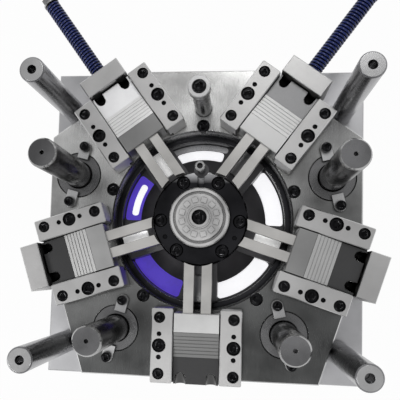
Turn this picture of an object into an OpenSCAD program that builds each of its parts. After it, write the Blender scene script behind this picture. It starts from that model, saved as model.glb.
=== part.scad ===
// Moving half of a five-slide injection mould.
// The mould axis is +Z, the origin is on it at the underside of the clamp plate.
// Every level is worked out from the plate thicknesses.

/* [Plates] */
// Clamp plate size along X
clamp_x = 500; // [460:5:560]
// Clamp plate size along Y
clamp_y = 440; // [440:5:500]
// Clamp plate thickness
clamp_t = 35; // [30:1:45]
// Spacer block width
spacer_w = 66; // [60:1:70]
// Spacer block height
spacer_h = 150; // [145:1:190]
// Core plate size along X
core_plate_x = 444; // [440:2:450]
// Core plate size along Y
core_plate_y = 440; // [436:2:440]
// Core plate thickness
core_plate_t = 60; // [56:1:80]
// Stripper plate size along X
stripper_x = 420; // [416:1:426]
// Distance from the mould axis to the stripper plate's top edge
stripper_top_y = 204.5; // [196:0.5:210]
// Distance from the mould axis to the stripper plate's bottom edge
stripper_bottom_y = 211; // [210:0.5:214]
// Stripper plate thickness
stripper_t = 59; // [56:1:70]
// Chamfer on the plates' upper edges
plate_chamfer = 1.5; // [0.5:0.5:3]
// Lift of the stripper plate
lift_stroke = 90; // [60:1:92]

/* [Guiding] */
// Leader pin diameter
leader_d = 35; // [32:1:38]
// Leader pin length above the stripper plate
leader_proud = 159.5; // [140:0.5:180]
// Upper leader pins, distance from the middle plane
leader_upper_x = 171; // [169:0.5:172]
// Upper leader pins, height above the mould axis
leader_upper_y = 59; // [57:0.5:61]
// Lower leader pins, distance from the middle plane
leader_lower_x = 111.5; // [110:0.5:113]
// Lower leader pins, depth below the mould axis
leader_lower_y = 148.5; // [147:0.5:150]
// Leader pin head diameter
leader_head_d = 41; // [39:1:44]
// Leader pin head height
leader_head_h = 8; // [6:1:12]
// Guide bush body diameter
bush_d = 48; // [44:1:50]
// Guide bush flange diameter
bush_flange_d = 60; // [58:1:62]
// Guide bush flange height
bush_flange_h = 10; // [8:1:14]
// Radial running play of pins, rods and guides
running_play = 0.04; // [0.02:0.01:0.08]
// Limit rod diameter
rod_d = 30; // [28:1:31]
// Limit rod length above the stripper plate
rod_proud = 156; // [140:1:180]
// Upper limit rods, distance from the middle plane
rod_upper_x = 188.5; // [188:0.5:192]
// Upper limit rods, height above the mould axis
rod_upper_y = 156; // [155:0.5:160]
// Lower limit rods, distance from the middle plane
rod_lower_x = 187; // [186:0.5:190]
// Lower limit rods, depth below the mould axis
rod_lower_y = 173; // [172:0.5:176]
// Tapping size of the limit rods' end threads
rod_tap_d = 10.2; // [8.5:0.1:12]
// Depth of the limit rods' end threads
rod_tap_h = 28; // [20:1:40]

/* [Slides] */
// Stroke of each slide
slide_stroke = 23.5; // [15:0.1:24]
// Width of a slide body between its gibs
slide_w = 57; // [54:0.5:60]
// Height of a slide and its gibs
slide_h = 41; // [38:1:44]
// Distance from the mould axis to an open slide's front face
slide_front = 122.5; // [121:0.5:126]
// Length of the slide's flat nose
nose_len = 24.5; // [20:0.5:28]
// Length of the grooved heel plate along the slide
heel_len = 31; // [26:1:33]
// Fall of the heel plate over its length
heel_fall = 6.5; // [3:0.5:10]
// Heel plate thickness
heel_t = 6; // [4:0.5:8]
// Oil grooves on a heel plate
heel_grooves = 6; // [3:1:7]
// Oil groove width
groove_w = 1.3; // [0.8:0.1:2]
// Oil groove depth
groove_h = 0.8; // [0.4:0.1:1.2]
// Step down from the heel plate to the slide's tail
tail_step = 1; // [0.5:0.5:4]
// Fall of the tail over its length
tail_fall = 2.5; // [0.5:0.5:5]
// Width of each guide wing beside the slide body
wing_w = 7.5; // [4:0.5:8]
// Guide wing height
wing_h = 12; // [9:0.5:13]
// Gap between the slide body and the gib lips
lip_gap = 1; // [0.2:0.1:3]
// Gib width over its lip
gib_w = 27.8; // [26:0.1:30]
// Distance from the mould axis to the gibs' inner ends
gib_front = 117; // [116.5:0.5:119]
// Distance from the mould axis to the gibs' outer ends
gib_back = 211; // [209:0.5:213]
// Gib end screws, distance from the gib's ends
gib_end_in = 11.7; // [10:0.1:14]
// Gib dowels, distance from the gib's middle
gib_dowel_off = 14.5; // [13:0.5:16]
// Gib screw line, distance from the slide's middle
gib_screw_y = 47; // [45:0.5:49]
// Corner radius of the gibs
gib_corner = 2.5; // [1:0.5:4]
// Chamfer on gibs, slides and blocks
edge_chamfer = 1; // [0.5:0.1:1.5]
// Angle of the finger cam notches from upright
cam_angle = 20; // [15:1:25]
// Finger cam notch radius
cam_r = 6.7; // [5:0.1:7]
// Finger cam notch, distance from the slide's middle
cam_y = 19.5; // [17:0.5:20]
// Depth of a finger cam notch into the slide from its back, at its axis
cam_x = 9; // [7:0.5:11]

/* [Blades] */
// Blade width
blade_w = 13; // [11:0.5:14]
// Blade height
blade_h = 14; // [10:0.5:14.5]
// Distance between the middles of a slide's two blades
blade_pitch = 22.6; // [20:0.2:25]
// Depth of the blades' upper face below the slide's nose
blade_drop = 3; // [2:0.5:5]
// Depth of a blade's root in the slide
blade_root = 20; // [14:1:22]
// Gap between closed blades and the core disc
blade_seat_gap = 0.3; // [0.2:0.05:0.5]

/* [Stops and springs] */
// Distance from the mould axis to the stop blocks' inner faces
stop_face = 214; // [213:0.5:216]
// Stop block depth
stop_t = 24.5; // [20:0.5:28]
// Stop block width
stop_w = 60; // [54:1:62]
// Reach of a stop block down the plate's side
stop_reach = 40; // [32:1:48]
// Pull rod diameter
pull_d = 10; // [8:1:10]
// Height of the pull rods above the stripper plate
pull_h = 20; // [12:0.5:22]
// Thread of the pull rod in its slide
pull_thread = 22; // [14:1:26]
// Spring outside diameter
spring_d = 20.5; // [18:0.5:22]
// Spring length at rest
spring_len = 125; // [110:1:150]
// Spring turns
spring_turns = 27; // [18:1:30]
// Spring wire width, across the spring
wire_w = 4; // [3:0.2:4.6]
// Spring wire thickness, along the spring
wire_t = 3; // [2:0.2:3.4]
// Washer thickness
washer_t = 2.5; // [2:0.5:4]
// Nut height
nut_h = 8; // [6:0.5:12]
// Stop pin diameter of the lower slide
stop_pin_d = 10; // [8:1:12]
// Stop pin height above the stripper plate
stop_pin_h = 8; // [6:0.5:9]

/* [Core] */
// Inside diameter of the stripper ring
ring_in_d = 225; // [222:1:228]
// Width of the stripper ring, from its inside to its outside
ring_w = 21.5; // [20.5:0.5:22.5]
// Width of the part of the ring that lies inside the stripper plate's bore
ring_lip_w = 7.5; // [6.5:0.5:8.5]
// Stripper ring height
ring_h = 30; // [26:1:34]
// Spoke width
spoke_w = 46; // [40:1:48]
// Height of a spoke's root above the core plate
spoke_h = 54; // [50:1:56]
// Width of the windows between the core's foot and the spokes' ends
window_w = 25.92; // [24.42:0.5:27.42]
// Height of the core's foot
foot_h = 28; // [20:1:32]
// Hub flange diameter
hub_d = 124; // [120:1:128]
// Hub flange thickness
hub_t = 18; // [14:1:22]
// Depth of the hub's upper face below the gibs' upper face
hub_drop = 18; // [17.5:0.5:24]
// Core disc diameter
disc_d = 77.4; // [74:0.2:80]
// Core disc plateau diameter
plateau_d = 61; // [54:1:64]
// Step between the core disc's rim and its plateau
disc_step = 3; // [1:0.5:5]
// Raised pads around the core disc
pad_count = 12; // [8:1:12]
// Height of the shut-off floors in the windows
floor_h = 12; // [8:1:20]
// Width of the strip along each spoke
strip_w = 20; // [14:0.5:24]
// Depth of the strips' upper faces below the slides
strip_drop = 4; // [2:0.5:8]
// Width of the slot in the hub
hub_slot_w = 9; // [7:0.5:10]
// Hub pin diameter
hub_pin_d = 13; // [10:0.5:14]
// Hub pin height above the hub's upper face
hub_pin_proud = 28; // [10:1:30]

/* [Limit post] */
// Distance of the limit post from the stripper ring
post_gap = 17.5; // [15:0.5:20]
// Limit post diameter
post_d = 22; // [20:1:23]
// Limit post collar diameter
post_collar_d = 28; // [27:1:30]
// Limit post collar height
post_collar_h = 11; // [8:1:16]

/* [Ejector box] */
// Ejector plate size along X
ejector_x = 300; // [290:2:308]
// Ejector plate thickness
ejector_t = 25; // [20:1:28]
// Ejector retainer plate thickness
retainer_t = 20; // [16:1:22]
// Stop button height
button_h = 5; // [4:0.5:8]
// Stop button diameter
button_d = 25; // [20:1:30]
// Push rod diameter
push_d = 20; // [16:1:24]
// Support pillar diameter
pillar_d = 45; // [40:1:50]
// Ejector guide pin diameter
guide_d = 20; // [16:1:24]
// Knock-out hole diameter
knockout_d = 40; // [35:1:50]
// Eyebolt tapping size
eyebolt_d = 17.5; // [14:0.5:21]
// Eyebolt thread depth
eyebolt_h = 34; // [24:1:40]
// Water port tapping size
port_d = 11.8; // [8.8:0.1:15]
// Water port thread depth
port_h = 20; // [14:1:26]

/* [Hidden] */
$fn = 96;
eps = 0.5;
collar_gap = 0.2;

SLIDES = 5;
slide_step = 360 / SLIDES;
slide_first = 126;
SPRUNG = [1, 2];
BLOCKED = [1, 2, 3, 5];
PINNED = 4;

// Levels of the faces along the mould axis
z_spacer = clamp_t;
z_core = z_spacer + spacer_h;
z_strip = z_core + core_plate_t;
z_slide = z_strip + stripper_t;
z_top = z_slide + slide_h;
z_hub = z_top - hub_drop;
z_ejector = z_spacer + button_h;
z_retainer = z_ejector + ejector_t;
z_retainer_top = z_retainer + retainer_t;
z_ring = z_strip + ring_h;
z_post_collar = z_slide + lift_stroke + collar_gap;
z_pull = z_slide + pull_h;

// Ring, core and post measures that follow from the sizes above
ring_out_d = ring_in_d + 2 * ring_w;
bore_d = ring_in_d + 2 * ring_lip_w;
spoke_out_r = ring_in_d / 2 - 2 * running_play;
foot_d = 2 * (spoke_out_r - window_w);
post_y = ring_out_d / 2 + post_gap;

// Plans of the pieces that repeat
leader_places = [
    [-leader_upper_x, leader_upper_y], [leader_upper_x, leader_upper_y],
    [-leader_lower_x, -leader_lower_y], [leader_lower_x, -leader_lower_y]
];
rod_places = [
    [-rod_upper_x, rod_upper_y], [rod_upper_x, rod_upper_y],
    [-rod_lower_x, -rod_lower_y], [rod_lower_x, -rod_lower_y]
];
push_in = 20;
push_upper_y = 112;
push_lower_y = 76;
push_places = [for (y = [push_upper_y, -push_lower_y], x = [-1, 1]) [x * (ejector_x / 2 - push_in), y]];
pillar_x = 72;
pillar_y = 90;
pillar_places = [for (y = [pillar_y, -pillar_y], x = [-pillar_x, pillar_x]) [x, y]];
ejector_inset = 8;
ejector_end_y = core_plate_y / 2 - ejector_inset;
guide_in = 30;
guide_end = 24;
guide_places = [for (y = [1, -1], x = [-1, 1]) [x * (ejector_x / 2 - guide_in), y * (ejector_end_y - guide_end)]];
button_places = [[-95, 150], [95, 150], [-95, -150], [95, -150], [-110, 20], [110, 20]];
base_screw_end = 60;
base_screw_y = core_plate_y / 2 - base_screw_end;
base_screw_places = [
    for (x = [-1, 1], y = [-base_screw_y, 0, base_screw_y]) [x * (core_plate_x - spacer_w) / 2, y]
];
ejector_screw_in = 90;
ejector_screw_end = 22;
ejector_screw_x = ejector_x / 2 - ejector_screw_in;
ejector_screw_y = ejector_end_y - ejector_screw_end;
ejector_screw_places = [
    for (x = [-ejector_screw_x, ejector_screw_x], y = [-ejector_screw_y, ejector_screw_y]) [x, y]
];

// Slide and gib measures that follow from the sizes above
slide_back = stop_face;
heel_front = slide_front + nose_len;
heel_back = heel_front + heel_len;
tail_root_h = slide_h - heel_fall - tail_step;
tail_h = tail_root_h - tail_fall;
lip_y = slide_w / 2 + lip_gap;
wing_y = slide_w / 2 + wing_w;
gib_len = gib_back - gib_front;
gib_mid = (gib_back + gib_front) / 2;
gib_outer_y = lip_y + gib_w;
gib_end_places = [gib_front + gib_end_in, gib_back - gib_end_in];
gib_dowel_places = [gib_mid - gib_dowel_off, gib_mid + gib_dowel_off];
ring_screw_in = 6;
ring_screw_r = ring_out_d / 2 - ring_screw_in;
hub_screw_in = 10.3;
hub_screw_r = hub_d / 2 - hub_screw_in;
hub_screw_angles = [64, 116, 184, 235, 305, 356];
hub_dowel_angles = [209, 331];
hub_pin_out = 2.5;
hub_pin_y = hub_d / 2 + hub_pin_out;
clip_screw_out = 9;
clip_screw_r = bush_flange_d / 2 + clip_screw_out;
pull_proud = 2;
pull_end = stop_face + stop_t + spring_len + washer_t + nut_h + pull_proud;

// Fastener sizes
M6 = 6;
M8 = 8;
M10 = 10;
M12 = 12;
M16 = 16;
dowel_d = 6;
thread_play = 0.05;
hole_play = 0.5;
flange_gap = 1.5;
fit_gap = 0.05;

// Base pieces
rod_spigot_d = 20;
rod_spigot_h = 24;
rod_h = stripper_t + rod_proud;
rod_nose = 1.5;
guide_seat = 20;
post_spigot_h = 24;
collar_seat = 3;
port_y = 120;
core_screw_r = foot_d / 2 - M12;
core_screw_angles = [for (k = [0:SLIDES - 1]) slide_first + slide_step / 2 + slide_step * k];
leader_seat = core_plate_t + stripper_t;
leader_h = leader_seat + leader_proud;
oil_groove_w = 3;
oil_groove_h = 0.5;
pin_nose = 4;
pin_center_d = 5;
pin_center_h = 10;
pillar_play = 2;
push_head_d = 26;
push_head_h = 8;

// Core pieces
neck_d = hub_d - 2;
neck_top = z_hub - hub_t - z_strip;
neck_cone_h = 9;
neck_foot = neck_top - neck_cone_h;
spoke_fall = 12;
spoke_tip_h = spoke_h - spoke_fall;
spoke_bevel = 2;
strip_overlap = 12;
strip_in = foot_d / 2 - strip_overlap;
strip_end = 2.5;
strip_out = spoke_out_r - strip_end;
hub_chamfer = 2;
hub_boss_d = 20;
hub_slot_h = 9;
hub_pin_seat = 12;
hub_pin_spigot = 8;
hub_pin_h = hub_slot_h + hub_pin_proud;
hub_pin_cap = 8;
hub_pin_socket_d = 7.5;
hub_pin_socket_h = 5;
disc_h = z_top - z_hub;
rim_round = 1.5;
rim_in = plateau_d / 2 + 3.4;
rim_groove_h = 2;
plateau_edge = 0.6;
inner_ring_d = 30;
inner_ring_w = 1.2;
pad_r = 22.5;
pad_len = 6.5;
pad_w = 7;
pad_h = 1.4;

// Stripper pieces
bore_chamfer = 2;
ring_chamfer = 1;
bush_mouth = 1.5;
clip_w = 15;
clip_h = 6;
clip_reach = clip_screw_r - bush_flange_d / 2 + 7;
stop_screw_y = 20;
stop_screw_drop = 24;
stop_pin_seat = 14;
stop_pin_in = 16;
stop_pin_x = heel_front + stop_pin_in;
slide_lift = 0.02;
slide_step_h = 15;
slide_relief = 1.5;
nose_edge = 0.5;
nut_d = 19.6;

// Depths of threads and dowels in their plates, and the end play of a screw in its thread
hub_engage = 1.5 * M10;
dowel_engage = 12;
core_engage = 1.5 * M12;
disc_engage = 1.5 * M12;
clip_engage = 14;
gib_engage_m8 = 14;
gib_engage_m10 = 18;
stop_engage = 18;
push_engage = 20;
ring_engage = 16;
post_engage = 17;
screw_end = 1;

function head_d(d) = 1.5 * d + (d < M12 ? 1 : 0);
function counterbore_d(d) = head_d(d) + 1.6;
function socket_d(d) = 0.9 * d;
function slide_angle(i) = slide_first - slide_step * (i - 1);
function leader_lean(p) = p[0] < 0 ? 76 : 104;

/* Shared shapes */

// Turns its children to the direction of slide i: +X points outwards along the stroke
module at_slide(i) {
    rotate([0, 0, slide_angle(i)]) children();
}

module at_slides(list = [1:SLIDES]) {
    for (i = list) at_slide(i) children();
}

module at_places(places) {
    for (p = places) translate([p[0], p[1], 0]) children();
}

// Rectangle with round corners, true arcs
module rounded_rect(x, y, r) {
    square([x - 2 * r, y], center = true);
    square([x, y - 2 * r], center = true);
    for (sx = [-1, 1], sy = [-1, 1]) translate([sx * (x / 2 - r), sy * (y / 2 - r)]) circle(r);
}

// Socket head screw, head up, with the underside of its head at z = 0
module socket_screw(d, shank) {
    difference() {
        union() {
            cylinder(d = head_d(d), h = d);
            translate([0, 0, -shank]) cylinder(d = d, h = shank + eps);
        }
        translate([0, 0, d / 2]) cylinder(d = socket_d(d), h = d, $fn = 6);
    }
}

// Hole for a socket head screw, with the counterbore's floor at z = 0
module screw_hole(d, shank, head) {
    translate([0, 0, -shank]) cylinder(d = d + 2 * hole_play, h = shank + eps);
    cylinder(d = counterbore_d(d), h = head);
}

// Box with its upper edges chamfered, standing on z = 0 and centred in plan
module chamfered_block(x, y, z, c) {
    intersection() {
        rotate([90, 0, 0]) linear_extrude(y, center = true) chamfered_section(x, z, c);
        rotate([90, 0, 90]) linear_extrude(x, center = true) chamfered_section(y, z, c);
    }
}

module chamfered_section(w, h, c) {
    polygon([[-w / 2, 0], [w / 2, 0], [w / 2, h - c], [w / 2 - c, h], [c - w / 2, h], [-w / 2, h - c]]);
}

// Cuts a chamfer along the upper edge of an outline whose points run anticlockwise
module outline_chamfer(points, z, c) {
    count = len(points);
    for (k = [0:count - 1]) {
        a = points[k];
        b = points[(k + 1) % count];
        run = norm(b - a);
        heading = atan2(b[1] - a[1], b[0] - a[0]);
        translate([a[0], a[1], z]) rotate([0, 0, heading]) translate([-c, 0, 0])
            rotate([90, 0, 90]) linear_extrude(run + 2 * c)
                polygon([[-eps, -c - eps], [c + eps, eps], [-eps, eps]]);
    }
}

/* Base: plates, pins and rods */

module bottom_clamp_plate() {
    color("dimgray") difference() {
        chamfered_block(clamp_x, clamp_y, clamp_t, plate_chamfer);
        translate([0, 0, -eps]) cylinder(d = knockout_d, h = clamp_t + 2 * eps);
        at_places(base_screw_places) translate([0, 0, M16 + 2]) mirror([0, 0, 1])
            screw_hole(M16, clamp_t, M16 + 3);
        at_places(guide_places) translate([0, 0, -eps])
            cylinder(d = guide_d + 2 * fit_gap, h = clamp_t + 2 * eps);
    }
}

module spacer_blocks() {
    color("gray") difference() {
        for (side = [-1, 1]) translate([side * (core_plate_x - spacer_w) / 2, 0, z_spacer + spacer_h / 2])
            cube([spacer_w, core_plate_y, spacer_h], center = true);
        at_places(base_screw_places) translate([0, 0, z_spacer - eps])
            cylinder(d = M16 + 2 * hole_play, h = spacer_h + 2 * eps);
    }
}

module base_screws() {
    color("black") at_places(base_screw_places) translate([0, 0, M16 + 2]) mirror([0, 0, 1])
        socket_screw(M16, clamp_t - M16 - 2 + spacer_h + 1.5 * M16);
}

module core_plate() {
    color("gray") difference() {
        translate([0, 0, z_core]) chamfered_block(core_plate_x, core_plate_y, core_plate_t, plate_chamfer);
        at_places(leader_places) {
            translate([0, 0, z_core - eps]) cylinder(d = leader_d + 2 * fit_gap, h = core_plate_t + 2 * eps);
            translate([0, 0, z_core - eps])
                cylinder(d = leader_head_d + 2 * hole_play, h = leader_head_h + eps);
        }
        at_places(rod_places) translate([0, 0, z_strip - rod_spigot_h])
            cylinder(d = rod_spigot_d + 2 * fit_gap, h = rod_spigot_h + eps);
        at_places(push_places) translate([0, 0, z_core - eps])
            cylinder(d = push_d + 2 * running_play, h = core_plate_t + 2 * eps);
        at_places(base_screw_places) translate([0, 0, z_core - eps])
            cylinder(d = M16 + 2 * thread_play, h = 1.5 * M16 + 2);
        at_places(guide_places) translate([0, 0, z_core - eps])
            cylinder(d = guide_d + 2 * fit_gap, h = guide_seat + eps);
        translate([0, post_y, z_strip - post_spigot_h])
            cylinder(d = post_d + 2 * fit_gap, h = post_spigot_h + eps);
        for (a = core_screw_angles) rotate([0, 0, a]) translate([core_screw_r, 0, z_core + M12])
            mirror([0, 0, 1]) screw_hole(M12, core_plate_t, M12 + eps);
        for (sx = [-1, 1]) {
            translate([sx * (core_plate_x / 2 + eps), 0, z_core + core_plate_t / 2]) for (y = [-port_y, port_y])
                translate([0, y, 0]) rotate([0, -sx * 90, 0]) cylinder(d = port_d, h = port_h + eps);
        }
        translate([0, core_plate_y / 2 + eps, z_core + core_plate_t / 2])
            rotate([90, 0, 0]) cylinder(d = eyebolt_d, h = eyebolt_h + eps);
    }
}

module support_pillars() {
    color("gray") at_places(pillar_places) translate([0, 0, z_spacer]) cylinder(d = pillar_d, h = spacer_h);
}

module leader_pins() {
    color("slategray") at_places(leader_places) translate([0, 0, z_core]) difference() {
        rotate_extrude() polygon([
            [0, 0], [leader_head_d / 2, 0], [leader_head_d / 2, leader_head_h], [leader_d / 2, leader_head_h],
            [leader_d / 2, leader_seat - oil_groove_w], [leader_d / 2 - oil_groove_h, leader_seat - oil_groove_w],
            [leader_d / 2 - oil_groove_h, leader_seat], [leader_d / 2, leader_seat],
            [leader_d / 2, leader_h - pin_nose], [leader_d / 2 - pin_nose / 2, leader_h], [0, leader_h]
        ]);
        translate([0, 0, leader_h - pin_center_h]) cylinder(d = pin_center_d, h = pin_center_h + eps);
    }
}

module limit_rods() {
    color("slategray") at_places(rod_places) difference() {
        union() {
            translate([0, 0, z_strip - rod_spigot_h]) cylinder(d = rod_spigot_d, h = rod_spigot_h + eps);
            translate([0, 0, z_strip]) rotate_extrude() polygon([
                [0, 0], [rod_d / 2, 0], [rod_d / 2, rod_h - rod_nose], [rod_d / 2 - rod_nose, rod_h], [0, rod_h]
            ]);
        }
        translate([0, 0, z_strip + rod_h - rod_tap_h]) cylinder(d = rod_tap_d, h = rod_tap_h + eps);
    }
}

module limit_post() {
    color("silver") translate([0, post_y, 0]) difference() {
        translate([0, 0, z_strip - post_spigot_h])
            cylinder(d = post_d, h = z_post_collar - z_strip + post_spigot_h);
        translate([0, 0, z_post_collar - post_engage])
            cylinder(d = M10 + 2 * thread_play, h = post_engage + eps);
    }
}

module limit_collar() {
    color("gainsboro") translate([0, post_y, z_post_collar]) difference() {
        rotate_extrude() polygon([
            [0, 0], [post_collar_d / 2, 0], [post_collar_d / 2, post_collar_h - edge_chamfer],
            [post_collar_d / 2 - edge_chamfer, post_collar_h], [0, post_collar_h]
        ]);
        translate([0, 0, collar_seat]) screw_hole(M10, post_collar_h, post_collar_h);
    }
}

module limit_screw() {
    color("black") translate([0, post_y, z_post_collar + collar_seat])
        socket_screw(M10, collar_seat + post_engage - screw_end);
}

/* Base: core */

// Plan of the five spokes, widened by play
module spoke_plan(play = 0) {
    at_slides() translate([0, -spoke_w / 2 - play]) square([spoke_out_r + eps + play, spoke_w + 2 * play]);
}

module spoke_core() {
    color([0.1, 0.1, 0.11]) difference() {
        union() {
            translate([0, 0, z_strip]) rotate_extrude() polygon([
                [0, 0], [foot_d / 2, 0], [foot_d / 2, foot_h], [neck_d / 2, neck_foot],
                [neck_d / 2, neck_top], [0, neck_top]
            ]);
            intersection() {
                translate([0, 0, z_strip]) linear_extrude(spoke_h) spoke_plan();
                translate([0, 0, z_strip]) rotate_extrude() polygon([
                    [0, 0], [spoke_out_r, 0], [spoke_out_r, spoke_tip_h - spoke_bevel],
                    [spoke_out_r - spoke_bevel, spoke_tip_h], [neck_d / 2, spoke_h], [0, spoke_h]
                ]);
            }
            translate([0, hub_pin_y, z_strip]) cylinder(d = hub_boss_d, h = z_hub - hub_slot_h - z_strip);
        }
        at_slides() translate([strip_in, -strip_w / 2 - fit_gap, z_strip - eps])
            cube([strip_out - strip_in, strip_w + 2 * fit_gap, spoke_h + 2 * eps]);
        for (a = hub_screw_angles) rotate([0, 0, a]) translate([hub_screw_r, 0, z_hub - hub_t - hub_engage])
            cylinder(d = M10 + 2 * thread_play, h = hub_engage + eps);
        for (a = hub_dowel_angles) rotate([0, 0, a]) translate([hub_screw_r, 0, z_hub - hub_t - dowel_engage])
            cylinder(d = dowel_d + 2 * fit_gap, h = dowel_engage + eps);
        for (a = core_screw_angles) rotate([0, 0, a]) translate([core_screw_r, 0, z_strip - eps])
            cylinder(d = M12 + 2 * thread_play, h = core_engage + eps);
        translate([0, hub_pin_y, z_hub - hub_slot_h - hub_pin_seat])
            cylinder(d = hub_pin_spigot + 2 * fit_gap, h = hub_pin_seat + eps);
        translate([0, 0, z_hub - hub_t - disc_engage]) cylinder(d = M12 + 2 * thread_play, h = disc_engage + eps);
    }
}

module core_screws() {
    color("black") for (a = core_screw_angles) rotate([0, 0, a]) translate([core_screw_r, 0, z_core + M12])
        mirror([0, 0, 1]) socket_screw(M12, core_plate_t - M12 + core_engage - screw_end);
}

module hub_flange() {
    color([0.13, 0.13, 0.14]) difference() {
        translate([0, 0, z_hub - hub_t]) rotate_extrude() polygon([
            [0, 0], [hub_d / 2, 0], [hub_d / 2, hub_t - hub_chamfer], [hub_d / 2 - hub_chamfer, hub_t], [0, hub_t]
        ]);
        for (a = hub_screw_angles) rotate([0, 0, a]) translate([hub_screw_r, 0, z_hub - M10 - 1])
            screw_hole(M10, hub_t, M10 + 1 + eps);
        for (a = hub_dowel_angles) rotate([0, 0, a]) translate([hub_screw_r, 0, z_hub - hub_t - eps])
            cylinder(d = dowel_d + 2 * fit_gap, h = hub_t + 2 * eps);
        translate([-hub_slot_w / 2, disc_d / 2 + 1, z_hub - hub_slot_h]) cube([hub_slot_w, hub_d, hub_t]);
        translate([0, hub_pin_y, z_hub - hub_t - eps]) cylinder(d = hub_boss_d + 2 * fit_gap, h = hub_t + 2 * eps);
        translate([0, 0, z_hub - hub_t - eps]) cylinder(d = M12 + 2 * hole_play, h = hub_t + 2 * eps);
    }
}

module hub_screws() {
    color("black") for (a = hub_screw_angles) rotate([0, 0, a]) translate([hub_screw_r, 0, z_hub - M10 - 1])
        socket_screw(M10, hub_t - M10 - 1 + hub_engage - screw_end);
}

module hub_dowels() {
    color("black") for (a = hub_dowel_angles) rotate([0, 0, a])
        translate([hub_screw_r, 0, z_hub - hub_t - dowel_engage])
            cylinder(d = dowel_d, h = dowel_engage + hub_t - 2);
}

module hub_pin() {
    color("silver") translate([0, hub_pin_y, 0]) difference() {
        union() {
            translate([0, 0, z_hub - hub_slot_h - hub_pin_seat + eps])
                cylinder(d = hub_pin_spigot, h = hub_pin_seat);
            translate([0, 0, z_hub - hub_slot_h]) rotate_extrude() polygon([
                [0, 0], [hub_pin_d / 2 - 1.5, 0], [hub_pin_d / 2 - 1.5, hub_pin_h - hub_pin_cap],
                [hub_pin_d / 2, hub_pin_h - hub_pin_cap], [hub_pin_d / 2, hub_pin_h - edge_chamfer],
                [hub_pin_d / 2 - edge_chamfer, hub_pin_h], [0, hub_pin_h]
            ]);
        }
        translate([0, 0, z_hub - hub_slot_h + hub_pin_h - hub_pin_socket_h])
            cylinder(d = hub_pin_socket_d, h = hub_pin_socket_h + eps);
    }
}

module core_disc() {
    color("lightgray") difference() {
        union() {
            translate([0, 0, z_hub]) rotate_extrude() polygon([
                [0, 0], [disc_d / 2, 0], [disc_d / 2, disc_h - disc_step - rim_round],
                [disc_d / 2 - rim_round, disc_h - disc_step], [rim_in, disc_h - disc_step],
                [rim_in, disc_h - disc_step - rim_groove_h], [plateau_d / 2, disc_h - disc_step - rim_groove_h],
                [plateau_d / 2, disc_h - plateau_edge], [plateau_d / 2 - plateau_edge, disc_h], [0, disc_h]
            ]);
            for (k = [0:pad_count - 1]) rotate([0, 0, 360 / pad_count * (k + 0.5)])
                translate([pad_r - pad_len / 2, -pad_w / 2, z_top - eps]) cube([pad_len, pad_w, eps + pad_h]);
            translate([0, 0, z_top - eps]) cylinder(d = inner_ring_d, h = eps + pad_h);
        }
        translate([0, 0, z_top]) cylinder(d = inner_ring_d - 2 * inner_ring_w, h = pad_h + eps);
        translate([0, 0, z_top - M12 - 2]) screw_hole(M12, disc_h, M12 + 2 + pad_h + eps);
    }
}

module core_disc_screw() {
    color("black") translate([0, 0, z_top - M12 - 2])
        socket_screw(M12, disc_h - M12 - 2 + hub_t + disc_engage - screw_end);
}

module window_floors() {
    color([0.85, 0.85, 0.88]) translate([0, 0, z_strip]) difference() {
        cylinder(r = spoke_out_r - fit_gap, h = floor_h);
        translate([0, 0, -eps]) cylinder(d = foot_d + 2 * fit_gap, h = floor_h + 2 * eps);
        translate([0, 0, -eps]) linear_extrude(floor_h + 2 * eps) spoke_plan(fit_gap);
    }
}

module spoke_strips() {
    color("silver") at_slides() translate([strip_in + fit_gap, -strip_w / 2, z_strip])
        cube([strip_out - strip_in - 2 * fit_gap, strip_w, stripper_t - strip_drop]);
}

/* Stripper plate and what it carries */

// Outline of the stripper plate: five faces behind the slides, cut by the straight sides and top
function face_x(i, y) = (stop_face - y * sin(slide_angle(i))) / cos(slide_angle(i));
function face_y(i, x) = (stop_face - x * cos(slide_angle(i))) / sin(slide_angle(i));
stripper_right = [
    [face_x(3, -stripper_bottom_y), -stripper_bottom_y],
    [stripper_x / 2, face_y(3, stripper_x / 2)],
    [stripper_x / 2, face_y(2, stripper_x / 2)],
    [face_x(2, stripper_top_y), stripper_top_y]
];
stripper_outline = concat(stripper_right, [for (k = [3:-1:0]) [-stripper_right[k][0], stripper_right[k][1]]]);

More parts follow.
